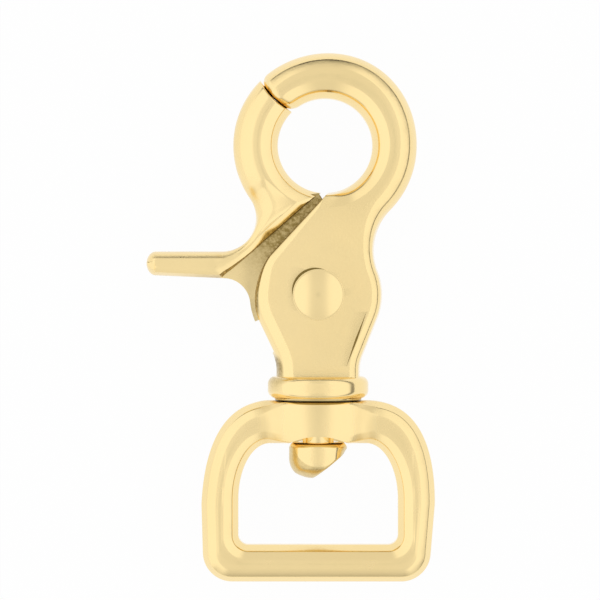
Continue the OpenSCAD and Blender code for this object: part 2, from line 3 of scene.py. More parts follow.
import bmesh
import bpy
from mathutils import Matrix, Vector


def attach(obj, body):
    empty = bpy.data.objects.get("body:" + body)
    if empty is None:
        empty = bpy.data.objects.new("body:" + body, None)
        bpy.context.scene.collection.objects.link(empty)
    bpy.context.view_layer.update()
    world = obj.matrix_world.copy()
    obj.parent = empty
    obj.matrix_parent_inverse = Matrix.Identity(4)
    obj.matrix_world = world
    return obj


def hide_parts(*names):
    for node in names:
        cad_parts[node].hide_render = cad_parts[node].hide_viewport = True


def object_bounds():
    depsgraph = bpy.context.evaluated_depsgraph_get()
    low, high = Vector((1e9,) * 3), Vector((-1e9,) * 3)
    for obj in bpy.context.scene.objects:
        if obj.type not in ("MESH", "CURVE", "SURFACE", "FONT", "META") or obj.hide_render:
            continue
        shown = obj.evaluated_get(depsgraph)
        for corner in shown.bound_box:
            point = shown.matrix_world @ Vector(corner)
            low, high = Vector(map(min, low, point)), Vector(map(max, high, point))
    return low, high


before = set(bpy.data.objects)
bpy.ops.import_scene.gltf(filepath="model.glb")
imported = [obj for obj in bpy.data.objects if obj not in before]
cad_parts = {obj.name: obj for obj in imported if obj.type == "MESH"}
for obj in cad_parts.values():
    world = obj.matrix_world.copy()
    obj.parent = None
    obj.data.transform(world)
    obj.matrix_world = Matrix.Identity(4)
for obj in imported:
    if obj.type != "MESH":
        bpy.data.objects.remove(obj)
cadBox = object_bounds()
print("frame loaded")

mm = 0.001
farCut = 25                              # longer than anything that is cut, in mm
creaseAngle = 34                         # sharper edges than this stay creases


# Points and paths, in millimetres
def polar(r, a):
    return Vector((r * cos(radians(a)), r * sin(radians(a))))


def mix(a, b, f):
    return a + (b - a) * f


def ease(f):
    return (1 - cos(pi * max(0, min(1, f)))) / 2


def arc(c, r, a0, a1, n):
    return [Vector(c) + polar(r, mix(a0, a1, i / n)) for i in range(n + 1)]


def line(p, q, n):
    return [mix(Vector(p), Vector(q), i / n) for i in range(n + 1)]


def angleOf(v):
    return degrees(atan2(v.y, v.x))


def turnOf(v):
    return angleOf(v) % 360


# How level a face lies: 0 up to the least value, and 1 at that much over it
def levelShare(normal, least, over):
    return max(0, min(1, (abs(normal.z) - least) / over))


# Rounds the corners of a row of points. Each corner has its own cut, in mm, which
# takes at most half of either side.
def rounded(points, cuts, steps):
    out = []
    for i, cut in enumerate(cuts):
        before, corner, after = points[i], points[i + 1], points[i + 2]
        start = mix(corner, before, min(0.5, cut / profileGap(corner, before)))
        end = mix(corner, after, min(0.5, cut / profileGap(corner, after)))
        for s in range(steps + 1):
            t = s / steps
            out.append(mix(mix(start, corner, t), mix(corner, end, t), t))
    return out


# A profile's points are (inset, share of the half thickness, height added to it)
nominalHalf = 4.5


def profileGap(p, q):
    d = q - p
    return max(1e-6, hypot(d.x, d.y * nominalHalf + d.z))


def castProfile(flank, bevel, flat, cuts, landHalf=0.9, steps=4):
    corners = [Vector((0, 0, 0)), Vector((0, 0, landHalf))]
    corners += [Vector((inset, 1, -drop)) for inset, drop in (flank, bevel, flat)]
    corners.append(Vector((flat[0] + 1, 1, -flat[1])))
    return rounded(corners, cuts, steps)


# Meshes
def meshObject(name, verts, faces):
    mesh = bpy.data.meshes.new(name)
    mesh.from_pydata([[c * mm for c in v] for v in verts], [], faces)
    mesh.update()
    obj = bpy.data.objects.new(name, mesh)
    bpy.context.scene.collection.objects.link(obj)
    bm = bmesh.new()
    bm.from_mesh(mesh)
    bmesh.ops.recalc_face_normals(bm, faces=bm.faces)
    bm.to_mesh(mesh)
    bm.free()
    return obj


# Skins a row of rings of equal count. An open row is closed by a fan at each end.
def skin(name, rings, closed=False):
    count, size = len(rings), len(rings[0])
    verts = [v for ring in rings for v in ring]
    spans = count if closed else count - 1
    faces = []
    for k in range(spans):
        a, b = k * size, ((k + 1) % count) * size
        for i in range(size):
            j = (i + 1) % size
            faces.append((a + i, a + j, b + j, b + i))
    if not closed:
        for start in (0, (count - 1) * size):
            ring = verts[start:start + size]
            middle = sum((Vector(v) for v in ring), Vector((0, 0, 0))) / size
            centre = len(verts)
            verts.append(middle)
            faces += [(start + i, start + (i + 1) % size, centre) for i in range(size)]
    return meshObject(name, verts, faces)


# The ring of points round one station: left side up, across the crowned flat, right
# side down, and the same again mirrored below.
crownRows = 5


def stationRing(left, right, leftZ, rightZ, crown):
    top = [(p.x, p.y, z) for p, z in zip(left, leftZ)]
    a, b = Vector(top[-1]), Vector((right[-1].x, right[-1].y, rightZ[-1]))
    for i in range(1, crownRows + 1):
        t = i / (crownRows + 1)
        p = mix(a, b, t)
        top.append((p.x, p.y, p.z + 4 * t * (1 - t) * crown))
    top += [(p.x, p.y, z) for p, z in reversed(list(zip(right, rightZ)))]
    return top + [(x, y, -z) for x, y, z in reversed(top)]


def heights(profile, half):
    return [p.y * half + p.z for p in profile]


# A turned solid about the swivel's axis, from (radius, y) points, closed on the axis
def lathe(name, profile, x, steps=128):
    verts, faces = [], []
    size = len(profile)
    for i in range(steps):
        a = 2 * pi * i / steps
        verts += [(x + r * sin(a), y, r * cos(a)) for r, y in profile]
    for i in range(steps):
        a, b = i * size, ((i + 1) % steps) * size
        faces += [(a + j, a + j + 1, b + j + 1, b + j) for j in range(size - 1)]
    for j in (0, size - 1):
        verts.append((x, profile[j][1], 0))
        centre = len(verts) - 1
        for i in range(steps):
            faces.append((i * size + j, ((i + 1) % steps) * size + j, centre))
    return meshObject(name, verts, faces)


# A plate or cutter: an outline in the snap's plane, from one height to another
def prism(name, outline, z0, z1):
    n = len(outline)
    verts = [(p[0], p[1], z0) for p in outline] + [(p[0], p[1], z1) for p in outline]
    faces = [tuple(range(n)), tuple(range(n, 2 * n))]
    faces += [(i, (i + 1) % n, n + (i + 1) % n, n + i) for i in range(n)]
    return meshObject(name, verts, faces)


def disc(c, r, n=64):
    return [Vector(c) + polar(r, 360 * i / n) for i in range(n)]


def combine(obj, other, operation):
    change = obj.modifiers.new("join", "BOOLEAN")
    change.operation = operation
    change.solver = "EXACT"
    change.object = other
    bpy.context.view_layer.objects.active = obj
    bpy.ops.object.modifier_apply(modifier=change.name)
    bpy.data.objects.remove(other)


# Tidies a finished mesh, marks its creases, and stores how matt each point is: the
# broad faces kept their cast grain, while bevels and rims were polished
def finishMesh(obj, crease, mattRule):
    bm = bmesh.new()
    bm.from_mesh(obj.data)
    bmesh.ops.remove_doubles(bm, verts=bm.verts, dist=2e-6)
    bmesh.ops.dissolve_degenerate(bm, edges=bm.edges, dist=1e-6)
    bmesh.ops.recalc_face_normals(bm, faces=bm.faces)
    for face in bm.faces:
        face.smooth = True
    for edge in bm.edges:
        edge.smooth = edge.is_manifold and edge.calc_face_angle(0) < radians(crease)
    bm.to_mesh(obj.data)
    bm.free()
    matt = obj.data.attributes.new("matt", "FLOAT", "POINT")
    values = [mattRule(v.co / mm, v.normal) for v in obj.data.vertices]
    matt.data.foreach_set("value", values)
    return obj


# Sizes that more than one piece shares
snap = {
    "eyeR": 7.55,
    "ringW": 7.1,
    "ringT": 8.6,
    "mouth": 135,
    "noseGap": 0.08,
    "noseSlant": 0.28,                   # how far the mouth leans over half the thickness
    "noseBulge": 0.6,                    # how far it curves towards the trigger
    "bulgeShare": 0.7,                   # of the curve, in the middle of the ring
    "leanKept": 0.4,                     # how far from the mouth the noses lean in full
    "leanFades": 3,                      # and over how much more it fades out
    "rivetAt": Vector((-1.1, -23.8)),
    "hubR": 7.3,
    "heelAngle": 203,
    "tangOut": 0.9,                      # the tang's corner: how far outside the eye
    "tangAngle": 266.5,                  # and at which angle
    "bodyT": 10.4,
    "thickenFrom": -2,                   # the y where the ring starts to thicken
    "thickenShort": 6,                   # and how far above the rivet that is done
    "slotW": 5,
    "openAngle": 28,
    "bossGap": 0.4,
    "bossH": 7.1,
    "knobRise": 0.45,                    # how far the knob's top stands in the arch
    "dense": 5,                          # mesh stations for each of the solid's own
}
eyeR = snap["eyeR"]
ringR = eyeR + snap["ringW"]
rivetAt = snap["rivetAt"]
dense = snap["dense"]


def noseTurn(r, e):
    return degrees(asin((snap["noseGap"] / 2 + e) / r))


def stations(*counts):
    return [n * dense for n in counts]


# The tang's corner beside the eye, and the angle where a line from it meets the hub
tangCorner = polar(eyeR + snap["tangOut"], snap["tangAngle"])
cornerWay = tangCorner - rivetAt
hubTouch = angleOf(cornerWay) - degrees(acos(snap["hubR"] / cornerWay.length))

# Body: hook, cheeks, collar, post and knob
hook = {
    "cheekR": 10.4,
    "cheekShift": 0.2,
    "waistR": 9.2,
    "neckW": 13.3,
    "neckFillet": 6,
    "neckLand": 1,
    "swell": 0.35,
    "swellFrom": -5,
    "swellOver": 120,
    "cutLean": 0.1,
    "flankShares": (0.5, 0.72),          # of the cut edge's flank, at the eye and lower
    "bevelShares": (0.35, 0.7),          # and of its bevel
    "widenRate": 2.2,
    "collarDrop": 13,
    "notchAngle": -90.5,
    "splitAngle": -20,
    "spineShare": 0.64,                  # of the right side's slopes, beside the cheeks
    "spineFrom": 17,                     # the station where they start to narrow
    "spineOver": 7,
    "noseRound": 1.3,
    "crown": 0.05,
    "flank": 1,                          # how wide its steep sides are
    "profile": castProfile((0.35, 2.45), (1, 1.15), (2.6, 0), (0.3, 0.5, 0.5, 0.2)),
    "collarR": 8.05,
    "collarH": 3.5,
    "collarEdge": 1.25,
    "seatR": 7,                          # the step that the loop turns against
    "seatH": 0.26,
    "postR": 2.5,
    "knobR": 4.65,
    "knobLip": 1,
    "knobFootR": 3.3,
    "knobH": 5.9,
    "slotGap": 0.35,
    "slotTurn": 1,                       # degrees that the slot is freer than the heel
    "rivetR": 2.1,
}
# Mesh stations round each side. Left: hook, ring, cut edge, cheek, its underside and
# fillet. Right: hook, ring, waist twice, cheek, its underside and fillet.
leftSteps = stations(15, 8, 5, 4, 3, 4)
rightSteps = stations(15, 3, 5, 4, 5, 3, 4)
cheekR, waistR = hook["cheekR"], hook["waistR"]
collarTop = rivetAt.y - hook["collarDrop"]
neckEnd = Vector((rivetAt.x, collarTop))


# Where two circles meet, on the right of the way from the first to the second
def meet(p, r, q, s):
    way = q - p
    gap = way.length
    along = (gap * gap + r * r - s * s) / (2 * gap)
    return p + way / gap * along - Vector((way.y, -way.x)) / gap * sqrt(r * r - along * along)


eyeAt = Vector((0, 0))
cheekAt = rivetAt - Vector((hook["cheekShift"], 0))
waistAt = meet(eyeAt, ringR + waistR, cheekAt, cheekR + waistR)
neckHalf, neckFillet = hook["neckW"] / 2, hook["neckFillet"]
notchWay = polar(eyeR, hook["notchAngle"]) - cheekAt
tangentAngle = angleOf(notchWay) + degrees(acos(cheekR / notchWay.length))


# The fillet between cheek and neck, on the left (-1) or right (1), and how far the
# cheek turns in before it runs straight towards it
def neckFilletAt(side):
    return neckEnd + Vector((side * (neckHalf + neckFillet), hook["neckLand"]))


def neckTurn(side):
    way = neckFilletAt(side) - cheekAt
    return degrees(atan2(-way.y, side * way.x) - acos((cheekR + neckFillet) / way.length))


# The cheeks' left edge is cut nearly upright beside the trigger, with a narrow bevel,
# and widens again towards the neck: f is -1 at the eye and 1 at the neck
def widen(shares, f):
    atEye, atTouch = shares
    return mix(atTouch, atEye, -f) if f < 0 else mix(atTouch, 1, ease(hook["widenRate"] * f))


def cheekInset(d, f):
    flank = hook["flank"]
    upright = max(0, flank - d) * mix(hook["cutLean"], 1, ease(f))
    sloping = max(0, d - flank) * widen(hook["bevelShares"], f)
    return flank * widen(hook["flankShares"], f) - upright + sloping


def notchPoint(d, c):
    out, along = polar(1, tangentAngle), polar(1, tangentAngle - 90)
    foot = cheekAt + out * (cheekR - c)
    b, q = foot @ along, foot @ foot - (eyeR + d) ** 2
    return foot - along * (b + sqrt(b * b - q))


def chain(*paths):
    out = list(paths[0])
    for path in paths[1:]:
        out += path[1:]
    return out


# Where a bevel is narrower its drop is less too, so that its slope stays the same
def sharedHeights(profile, half, share):
    return [p.y * half + p.z * mix(1, share, p.y) for p in profile]


def bevelShare(k):
    hookN, ringN, cutN, cheekN, underN = leftSteps[:-1]
    past, shares = k - hookN - ringN, hook["bevelShares"]
    if past < 0:
        return mix(1, widen(shares, -1), ease(past / (4 * dense) + 1))
    past -= cutN
    return widen(shares, past / cutN if past < 0 else min(1, past / (cheekN + underN)))


def hookLeft(d, e):
    hookN, ringN, cutN, cheekN, underN, filletN = leftSteps
    r, turn = eyeR + d, neckTurn(-1)
    corner = notchPoint(d, cheekInset(d, -1))
    touch = cheekAt + polar(cheekR - cheekInset(d, 0), tangentAngle)
    path = chain(
        arc(eyeAt, r, snap["mouth"] - noseTurn(r, e), hook["splitAngle"], hookN),
        arc(eyeAt, r, hook["splitAngle"], angleOf(corner), ringN),
        line(corner, touch, cutN),
    )
    turns = [mix(tangentAngle, 180, i / cheekN) for i in range(1, cheekN)]
    turns += [180 + turn * i / underN for i in range(underN + 1)]
    for i, a in enumerate(turns):
        inset = cheekInset(d, (i + 1) / len(turns))
        path.append(cheekAt + polar(cheekR - inset, a))
    path += arc(neckFilletAt(-1), neckFillet + d, turn, 0, filletN)
    return path + [neckEnd + Vector((-neckHalf + d, -hook["collarH"] / 2))]


# The hook swells a little on its outer side
def swell(a):
    part = (a - hook["swellFrom"]) / hook["swellOver"]
    return hook["swell"] * sin(pi * max(0, min(1, part))) ** 2


def hookRight(d, e):
    hookN, ringN, waistN, lowN, cheekN, underN, filletN = rightSteps
    r, turn = ringR - d, neckTurn(1)
    ringEnd, cheekStart = angleOf(waistAt), angleOf(waistAt - cheekAt)
    start = snap["mouth"] - noseTurn(r, e)
    turns = [mix(start, hook["splitAngle"], i / hookN) for i in range(hookN + 1)]
    path = chain(
        [polar(r + swell(a), a) for a in turns],
        arc(eyeAt, r, hook["splitAngle"], ringEnd, ringN),
        arc(waistAt, waistR + d, ringEnd + 180, 180, waistN),
        arc(waistAt, waistR + d, 180, 180 + cheekStart, lowN),
        arc(cheekAt, cheekR - d, cheekStart, 0, cheekN),
        arc(cheekAt, cheekR - d, 0, -turn, underN),
    )
    path += arc(neckFilletAt(1), neckFillet + d, 180 - turn, 180, filletN)
    return path + [neckEnd + Vector((neckHalf - d, -hook["collarH"] / 2))]


# The right side's slopes are narrower beside the cheeks than on the ring
def spineShare(k):
    return mix(1, hook["spineShare"], ease((k / dense - hook["spineFrom"]) / hook["spineOver"]))


def spineSide(d, e):
    wide, narrow = hookRight(d, e), hookRight(d * hook["spineShare"], e)
    part = 1 - hook["spineShare"]
    return [mix(p, q, (1 - spineShare(k)) / part) for k, (p, q) in enumerate(zip(wide, narrow))]


def hookHalf(y):
    start = snap["thickenFrom"]
    run = start - rivetAt.y - snap["thickenShort"]
    return mix(snap["ringT"], snap["bodyT"], ease((start - y) / run)) / 2


# The rings that round off a nose: each lies nearer to its end and is smaller
def noseRings(leftAt, rightAt, profile, half, radius, crown, steps=5):
    rings = []
    for i in range(steps, 0, -1):
        turn = radians(90 * i / steps)
        shrink, back = radius * (1 - cos(turn)), radius * (1 - sin(turn))
        left = [leftAt(p.x + shrink, back) for p in profile[0]]
        right = [rightAt(p.x + shrink, back) for p in profile[1]]
        scale = (half - shrink) / half
        leftZ = [z * scale for z in heights(profile[0], half)]
        rightZ = [z * scale for z in heights(profile[1], half)]
        rings.append(stationRing(left, right, leftZ, rightZ, crown))
    return rings


# A point on a nose, on the eye's side or the outer one: turned back by e, clockwise (-1)
# for the hook and the other way (1) for the trigger
def nosePoint(byEye, way):
    def at(d, e):
        r = eyeR + d if byEye else ringR - d
        return polar(r, snap["mouth"] + way * noseTurn(r, e))
    return at


# Leans and curves both noses alike, so that they shut without a slit between them
def shapeMouth(obj):
    for v in obj.data.vertices:
        x, y, z = v.co / mm
        if x > 0 or y < 0:
            continue
        r, a = hypot(x, y), degrees(atan2(y, x))
        away = abs(a - snap["mouth"]) * pi / 180 * r
        across = (2 * r - eyeR - ringR) / snap["ringW"]
        shift = snap["noseSlant"] * z / (snap["ringT"] / 2)
        shift += snap["noseBulge"] * (snap["bulgeShare"] - across * across)
        shift *= 1 - ease((away - snap["leanKept"]) / snap["leanFades"])
        p = polar(r, a + degrees(shift / r))
        v.co = (p.x * mm, p.y * mm, z * mm)
    return obj


def hookCasting():
    profile, back, crown = hook["profile"], hook["noseRound"], hook["crown"]
    left = [hookLeft(p.x, back) for p in profile]
    right = [spineSide(p.x, back) for p in profile]
    ends = (nosePoint(True, -1), nosePoint(False, -1), (profile, profile))
    rings = noseRings(*ends, snap["ringT"] / 2, back, crown)
    for k in range(len(left[0])):
        half = hookHalf((left[0][k].y + right[0][k].y) / 2)
        rings.append(stationRing(
            [s[k] for s in left], [s[k] for s in right],
            sharedHeights(profile, half, bevelShare(k)),
            sharedHeights(profile, half, spineShare(k)),
            crown,
        ))
    return shapeMouth(skin("hook_body_cast", rings))


bossTop = collarTop - hook["collarH"] - snap["bossGap"]
bossEnd = bossTop - snap["bossH"]
knobTop = bossEnd + snap["knobRise"]
knobEnd = knobTop - hook["knobH"]


def quarter(r, y, edge, a0, a1, n=8):
    return [(r + edge * cos(radians(a)), y + edge * sin(radians(a)))
            for a in [mix(a0, a1, i / n) for i in range(n + 1)]]


# Collar, post and knob as one turned profile, from the collar's top down
def swivelProfile():
    edge, r, knobR = hook["collarEdge"], hook["collarR"], hook["knobR"]
    low, footR = collarTop - hook["collarH"], hook["knobFootR"]
    post, lip = hook["postR"], hook["knobLip"]
    seatR, seat = hook["seatR"], low - hook["seatH"]
    path = [(neckHalf - 1.2, collarTop)]
    path += quarter(r - edge, collarTop - edge, edge, 90, 0)
    path += quarter(r - edge, low + edge, edge, 0, -90)
    path += [(seatR, low), (seatR - 0.1, seat), (post + 0.2, seat)]
    path += [(post, low - snap["bossGap"]), (post, knobTop)]
    path += quarter(knobR - lip, knobTop - lip, lip, 90, 0)
    path += quarter(knobR - footR, knobEnd + footR, footR, 0, -90, 20)
    return path


# The knob was headed over by hand: its foot is worn round below a crease, and it is cut
# off at a slant on its right
wear = {
    "footSize": (6, 4.65, 5.35),         # half sizes of the rounded foot
    "from": 0.3,                         # how far below the knob's top it starts
    "cutAngle": -51,
    "cutReach": 3.05,
    "cutSoft": 0.25,
}


def shapeKnob(obj):
    centre = Vector((rivetAt.x, knobEnd + hook["knobR"], 0))
    cut, soft = polar(1, wear["cutAngle"]).to_3d(), wear["cutSoft"]
    for v in obj.data.vertices:
        p = v.co / mm - centre
        if p.y > knobTop - wear["from"] - centre.y:
            continue
        share = Vector([c / half for c, half in zip(p, wear["footSize"])]).length
        if share > 1 and p.y < 0:
            p = p / share
        over = p @ cut - wear["cutReach"]
        p = p - cut * (over + sqrt(over * over + soft * soft)) / 2
        v.co = (p + centre) * mm


def slotOutline():
    gap = hook["slotGap"]
    stop = snap["heelAngle"] + snap["openAngle"] + hook["slotTurn"]
    start = tangCorner + polar(gap, hubTouch)
    return [
        start + Vector((0, 3)),
        start,
        *arc(rivetAt, snap["hubR"] + gap, hubTouch, stop - 360, 72),
        rivetAt + polar(farCut, stop),
        rivetAt + polar(farCut * 2, 170),
        rivetAt + polar(farCut, 110),
    ]


# The lower a flat lies on the body, the more of its cast grain it has kept
bodyFinish = {"level": (0.93, 0.05), "least": 0.35, "from": -6, "over": 8}


def bodyMatt(p, normal):
    least = bodyFinish["least"]
    lower = ease((bodyFinish["from"] - p.y) / bodyFinish["over"])
    return levelShare(normal, *bodyFinish["level"]) * mix(least, 1, lower)


# The hollow beside the rivet's head, and the stroke of a file on the right cheek
recess = {"at": rivetAt + Vector((-0.52, 0.62)), "r": 3.58, "depth": 0.25}
fileMark = {"from": Vector((6.5, -26.5)), "to": Vector((3.3, -35.2)), "half": 0.17, "depth": 0.25}
markMiddle = (fileMark["from"] + fileMark["to"]) / 2


def markOutline():
    start, end = fileMark["from"], fileMark["to"]
    wide = (end - start).normalized().orthogonal() * fileMark["half"]
    return [start, markMiddle + wide, end, markMiddle - wide]


body = hookCasting()
swivel = lathe("swivel_turned", swivelProfile(), rivetAt.x)
shapeKnob(swivel)
combine(body, swivel, "UNION")
slotHalf, bodyTop = snap["slotW"] / 2, snap["bodyT"] / 2
recessFloor = hookHalf(rivetAt.y) - recess["depth"]
for cutter in (
    prism("slot_cut", slotOutline(), -slotHalf, slotHalf),
    prism("rivet_cut", disc(rivetAt, hook["rivetR"]), -farCut, farCut),
    prism("rivet_recess", disc(recess["at"], recess["r"], 96), recessFloor, farCut),
    prism("file_mark", markOutline(), bodyTop - fileMark["depth"], farCut),
):
    combine(body, cutter, "DIFFERENCE")
finishMesh(body, creaseAngle, bodyMatt)
print("body made:", len(body.data.polygons), "faces")


# Trigger: ring arm, finger piece and tang
jaw = {
    "fingerReach": 27.4,
    "fingerRise": 6.9,
    "fingerW": 4.25,
    "fingerTaper": 0.45,
    "fingerT": 6.8,
    "tipR": 1.5,
    "crookR": 5.4,
    "shoulderAngle": 221.5,
    "cornerAngle": 264.5,
    "split": 208,
    "landSplit": 215,
    "noseRound": 0.25,
    "throatW": 4.2,
    "throatDip": 1.2,
    "throatPart": 0.55,                  # the inner side's part of the narrow arm
    "throatLand": 0.05,                  # what is left flat between its slopes
    "throatEnd": 20,                     # the station where the dip has to be over
    "outerTurns": ((8, 4), (14, 5)),     # where one profile goes over into the next
    "innerTurns": (13, 14.5, 5),
    "thinning": (14, 13),                # and where the arm thins to the finger piece
    "tipPull": 0.55,
    "crown": 0.03,
    "tangR": 10.9,
    "tangT": 4.7,
    "tangFillet": 4.3,
    "tangDeep": 1.4,                     # how deep the tang runs into the thick part
    "boreR": 2.16,
}
# Left: ring, on to the crook, to the throat, on to the finger, finger and tip. Right:
# ring, on to the shoulder, to the throat, on to the finger, finger and tip.
outerSteps = stations(8, 3, 5, 3, 5, 4)
innerSteps = stations(8, 5, 3, 3, 5, 4)
tipN = outerSteps[-1]
jawN = sum(outerSteps)
fingerTop = rivetAt.y + jaw["fingerRise"]
crookR = jaw["crookR"]
crookY = fingerTop + crookR
crookAt = Vector((-sqrt((ringR + crookR) ** 2 - crookY ** 2), crookY))
crookAngle = turnOf(crookAt)
fingerTip = rivetAt.x - jaw["fingerReach"]
fingerFoot = fingerTop - jaw["fingerW"]
shoulderOut = polar(1, jaw["shoulderAngle"] - 90)
shoulderWay = polar(1, jaw["shoulderAngle"])
shoulderH = polar(eyeR, jaw["cornerAngle"]) @ shoulderOut
throatU = shoulderWay @ crookAt
throatAngle = jaw["shoulderAngle"] - 270

# Outer side, then inner side: on the ring, along the shoulder and on the finger piece
jawOuter = [
    castProfile((0.25, 2.3), (1.25, 0.8), (3.0, 0), (0.3, 1.2, 1.2, 0.6)),
    castProfile((0.3, 2.4), (1.4, 1.15), (2.7, 0.45), (0.3, 1.2, 1.2, 0.6)),
    castProfile((0.12, 1.9), (0.45, 0.7), (1.2, 0), (0.3, 0.16, 0.5, 0.2)),
]
jawInner = [
    castProfile((0.35, 2.45), (1, 1.15), (2.6, 0), (0.3, 0.5, 0.16, 0.2)),
    castProfile((0.03, 2.2), (0.12, 0.75), (1.2, 0), (0.3, 0.3, 0.14, 0.14)),
    castProfile((0.3, 1.5), (0.85, 0.22), (1.9, 0), (0.3, 0.4, 0.12, 0.3)),
]


def shoulderPoint(u, s):
    return shoulderOut * (shoulderH + s) + shoulderWay * u


def shoulderStart(d, s):
    return sqrt((eyeR + d) ** 2 - (shoulderH + s) ** 2)


def shoulderEnd(d, s):
    return (fingerFoot + d - shoulderOut.y * (shoulderH + s)) / shoulderWay.y


# The finger piece's tip: both sides of a level close on its own middle line
def tipEdges(j):
    outer, inner = jawOuter[2][j].x, jawInner[2][j].x
    foot = fingerFoot + jaw["fingerTaper"] + inner
    return fingerTop - outer, foot, jaw["tipR"] - jaw["tipPull"] * (outer + inner) / 2


def tipArc(j, side):
    top, foot, reach = tipEdges(j)
    middle, spread = (top + foot) / 2, side * (top - foot) / 2
    turns = [radians(88 * i / tipN) for i in range(1, tipN + 1)]
    start = fingerTip + jaw["tipR"]
    return [Vector((start - reach * sin(t), middle + spread * cos(t))) for t in turns]


# How far a station is past the ring (1 at the shoulder) and past that (2 on the
# finger piece)
def outerZone(k):
    return sum(ease((k / dense - start) / over) for start, over in jaw["outerTurns"])


def innerZone(k):
    corner, start, over = jaw["innerTurns"]
    return (1 if k / dense > corner else 0) + ease((k / dense - start) / over)


def zoned(profiles, zone, j):
    low = min(1, int(zone))
    return mix(profiles[low][j], profiles[low + 1][j], zone - low)


def jawInsets(profiles, zone, j, share):
    return [zoned(profiles, zone(k), j).x * share[k] for k in range(jawN + 1)]


def jawLeft(j, e, share):
    ringN, turnN, crookN, lowN, fingerN = outerSteps[:-1]
    inset = jawInsets(jawOuter, outerZone, j, share)
    r, split = ringR - inset[0], jaw["split"]
    path = arc(eyeAt, r, snap["mouth"] + noseTurn(r, e), split, ringN)
    for i in range(1, turnN + 1):
        path.append(polar(ringR - inset[len(path)], mix(split, crookAngle, i / turnN)))
    turns = [mix(crookAngle - 180, throatAngle, i / crookN) for i in range(1, crookN + 1)]
    turns += [mix(throatAngle, -90, i / lowN) for i in range(1, lowN + 1)]
    for a in turns:
        path.append(crookAt + polar(crookR + inset[len(path)], a))
    for i in range(1, fingerN + 1):
        x = mix(crookAt.x, fingerTip + jaw["tipR"], i / fingerN)
        path.append(Vector((x, fingerTop - inset[len(path)])))
    return path + tipArc(j, 1)


def jawRight(j, e, share):
    ringN, landN, shoulderN, throatN, fingerN = innerSteps[:-1]
    ring, shoulder = jawInner[0][j].x, jawInner[1][j].x
    inset = jawInsets(jawInner, innerZone, j, share)
    tip = inset[-1]
    r, split = eyeR + ring, jaw["landSplit"]
    corner = shoulderStart(ring, shoulder)
    path = chain(
        arc(eyeAt, r, snap["mouth"] + noseTurn(r, e), split, ringN),
        arc(eyeAt, r, split, turnOf(shoulderPoint(corner, shoulder)), landN),
    )
    fingerAt = len(path) + shoulderN + throatN - 1
    end = shoulderEnd(tip, inset[fingerAt])
    reach = [mix(corner, throatU, i / shoulderN) for i in range(1, shoulderN + 1)]
    reach += [mix(throatU, end, i / throatN) for i in range(1, throatN + 1)]
    for u in reach:
        path.append(shoulderPoint(u, inset[len(path)]))
    last = path[-1]
    foot = Vector((fingerTip + jaw["tipR"], fingerFoot + jaw["fingerTaper"] + tip))
    path += [mix(last, foot, i / fingerN) for i in range(1, fingerN + 1)]
    return path + tipArc(j, -1)


# The arm narrows to a throat between ring and finger piece. Where it is too narrow for
# both of its sloping sides they meet in a ridge, which dips. This gives the share of
# their insets and the dip that is left for one side, from the gap to the other.
def throatShares(path, other, profiles, zone, otherProfiles, otherZone, part):
    shares, dips = [], []
    throatEnd = jaw["throatEnd"] * dense
    for k, p in enumerate(path):
        gaps = [(p - q).length for q in other[:jawN - tipN + 1]]
        gap = min(gaps)
        across = zoned(otherProfiles, otherZone(gaps.index(gap)), -1).x
        room = gap - min(across, gap * (1 - part)) - jaw["throatLand"]
        shares.append(min(1, room / zoned(profiles, zone(k), -1).x))
        dips.append(jaw["throatDip"] * max(0, 1 - gap / jaw["throatW"]) if k < throatEnd else 0)
    return shares, dips


def jawCasting():
    levels = range(len(jawInner[0]))
    back, part = jaw["noseRound"], jaw["throatPart"]
    plain = [1] * (jawN + 1)
    left, right = jawLeft(0, back, plain), jawRight(0, back, plain)
    outerSide, innerSide = (jawOuter, outerZone), (jawInner, innerZone)
    outerShare, outerDip = throatShares(left, right, *outerSide, *innerSide, 1 - part)
    innerShare, innerDip = throatShares(right, left, *innerSide, *outerSide, part)
    left = [jawLeft(j, back, outerShare) for j in levels]
    right = [jawRight(j, back, innerShare) for j in levels]
    ends = (nosePoint(False, 1), nosePoint(True, 1), (jawOuter[0], jawInner[0]))
    rings = noseRings(*ends, snap["ringT"] / 2, back, jaw["crown"])
    thinFrom, thinOver = jaw["thinning"]
    for k in range(jawN + 1):
        reach = ease((k / dense - thinFrom) / thinOver)
        half = mix(snap["ringT"], jaw["fingerT"], reach) / 2
        outer = [zoned(jawOuter, outerZone(k), j) for j in levels]
        inner = [zoned(jawInner, innerZone(k), j) for j in levels]
        rings.append(stationRing(
            [s[k] for s in left], [s[k] for s in right],
            sharedHeights(outer, half - outerDip[k], outerShare[k]),
            sharedHeights(inner, half - innerDip[k], innerShare[k]),
            jaw["crown"],
        ))
    return shapeMouth(skin("trigger_jaw_cast", rings))


def tangOutline():
    tangR, fillet, deep = jaw["tangR"], jaw["tangFillet"], jaw["tangDeep"]
    heel = snap["heelAngle"]
    drop = fingerFoot - fillet
    filletAt = Vector((rivetAt.x - sqrt((tangR + fillet) ** 2 - (drop - rivetAt.y) ** 2), drop))
    filletAngle = turnOf(filletAt - rivetAt)
    start, end = shoulderStart(0, 0), shoulderEnd(0, 0)
    return [
        tangCorner,
        *arc(rivetAt, snap["hubR"], hubTouch, heel - 360, 72),
        *arc(rivetAt, tangR, heel, filletAngle, 16),
        *arc(filletAt, fillet, filletAngle - 180, 90, 16)[1:],
        Vector((filletAt.x - 1, fingerFoot + 0.25)),
        Vector((filletAt.x - 1, fingerFoot + 1.2)),
        shoulderPoint(end - 3, deep),
        shoulderPoint(start + 2.2, deep),
        shoulderPoint(start + 0.3, 0.1),
    ]


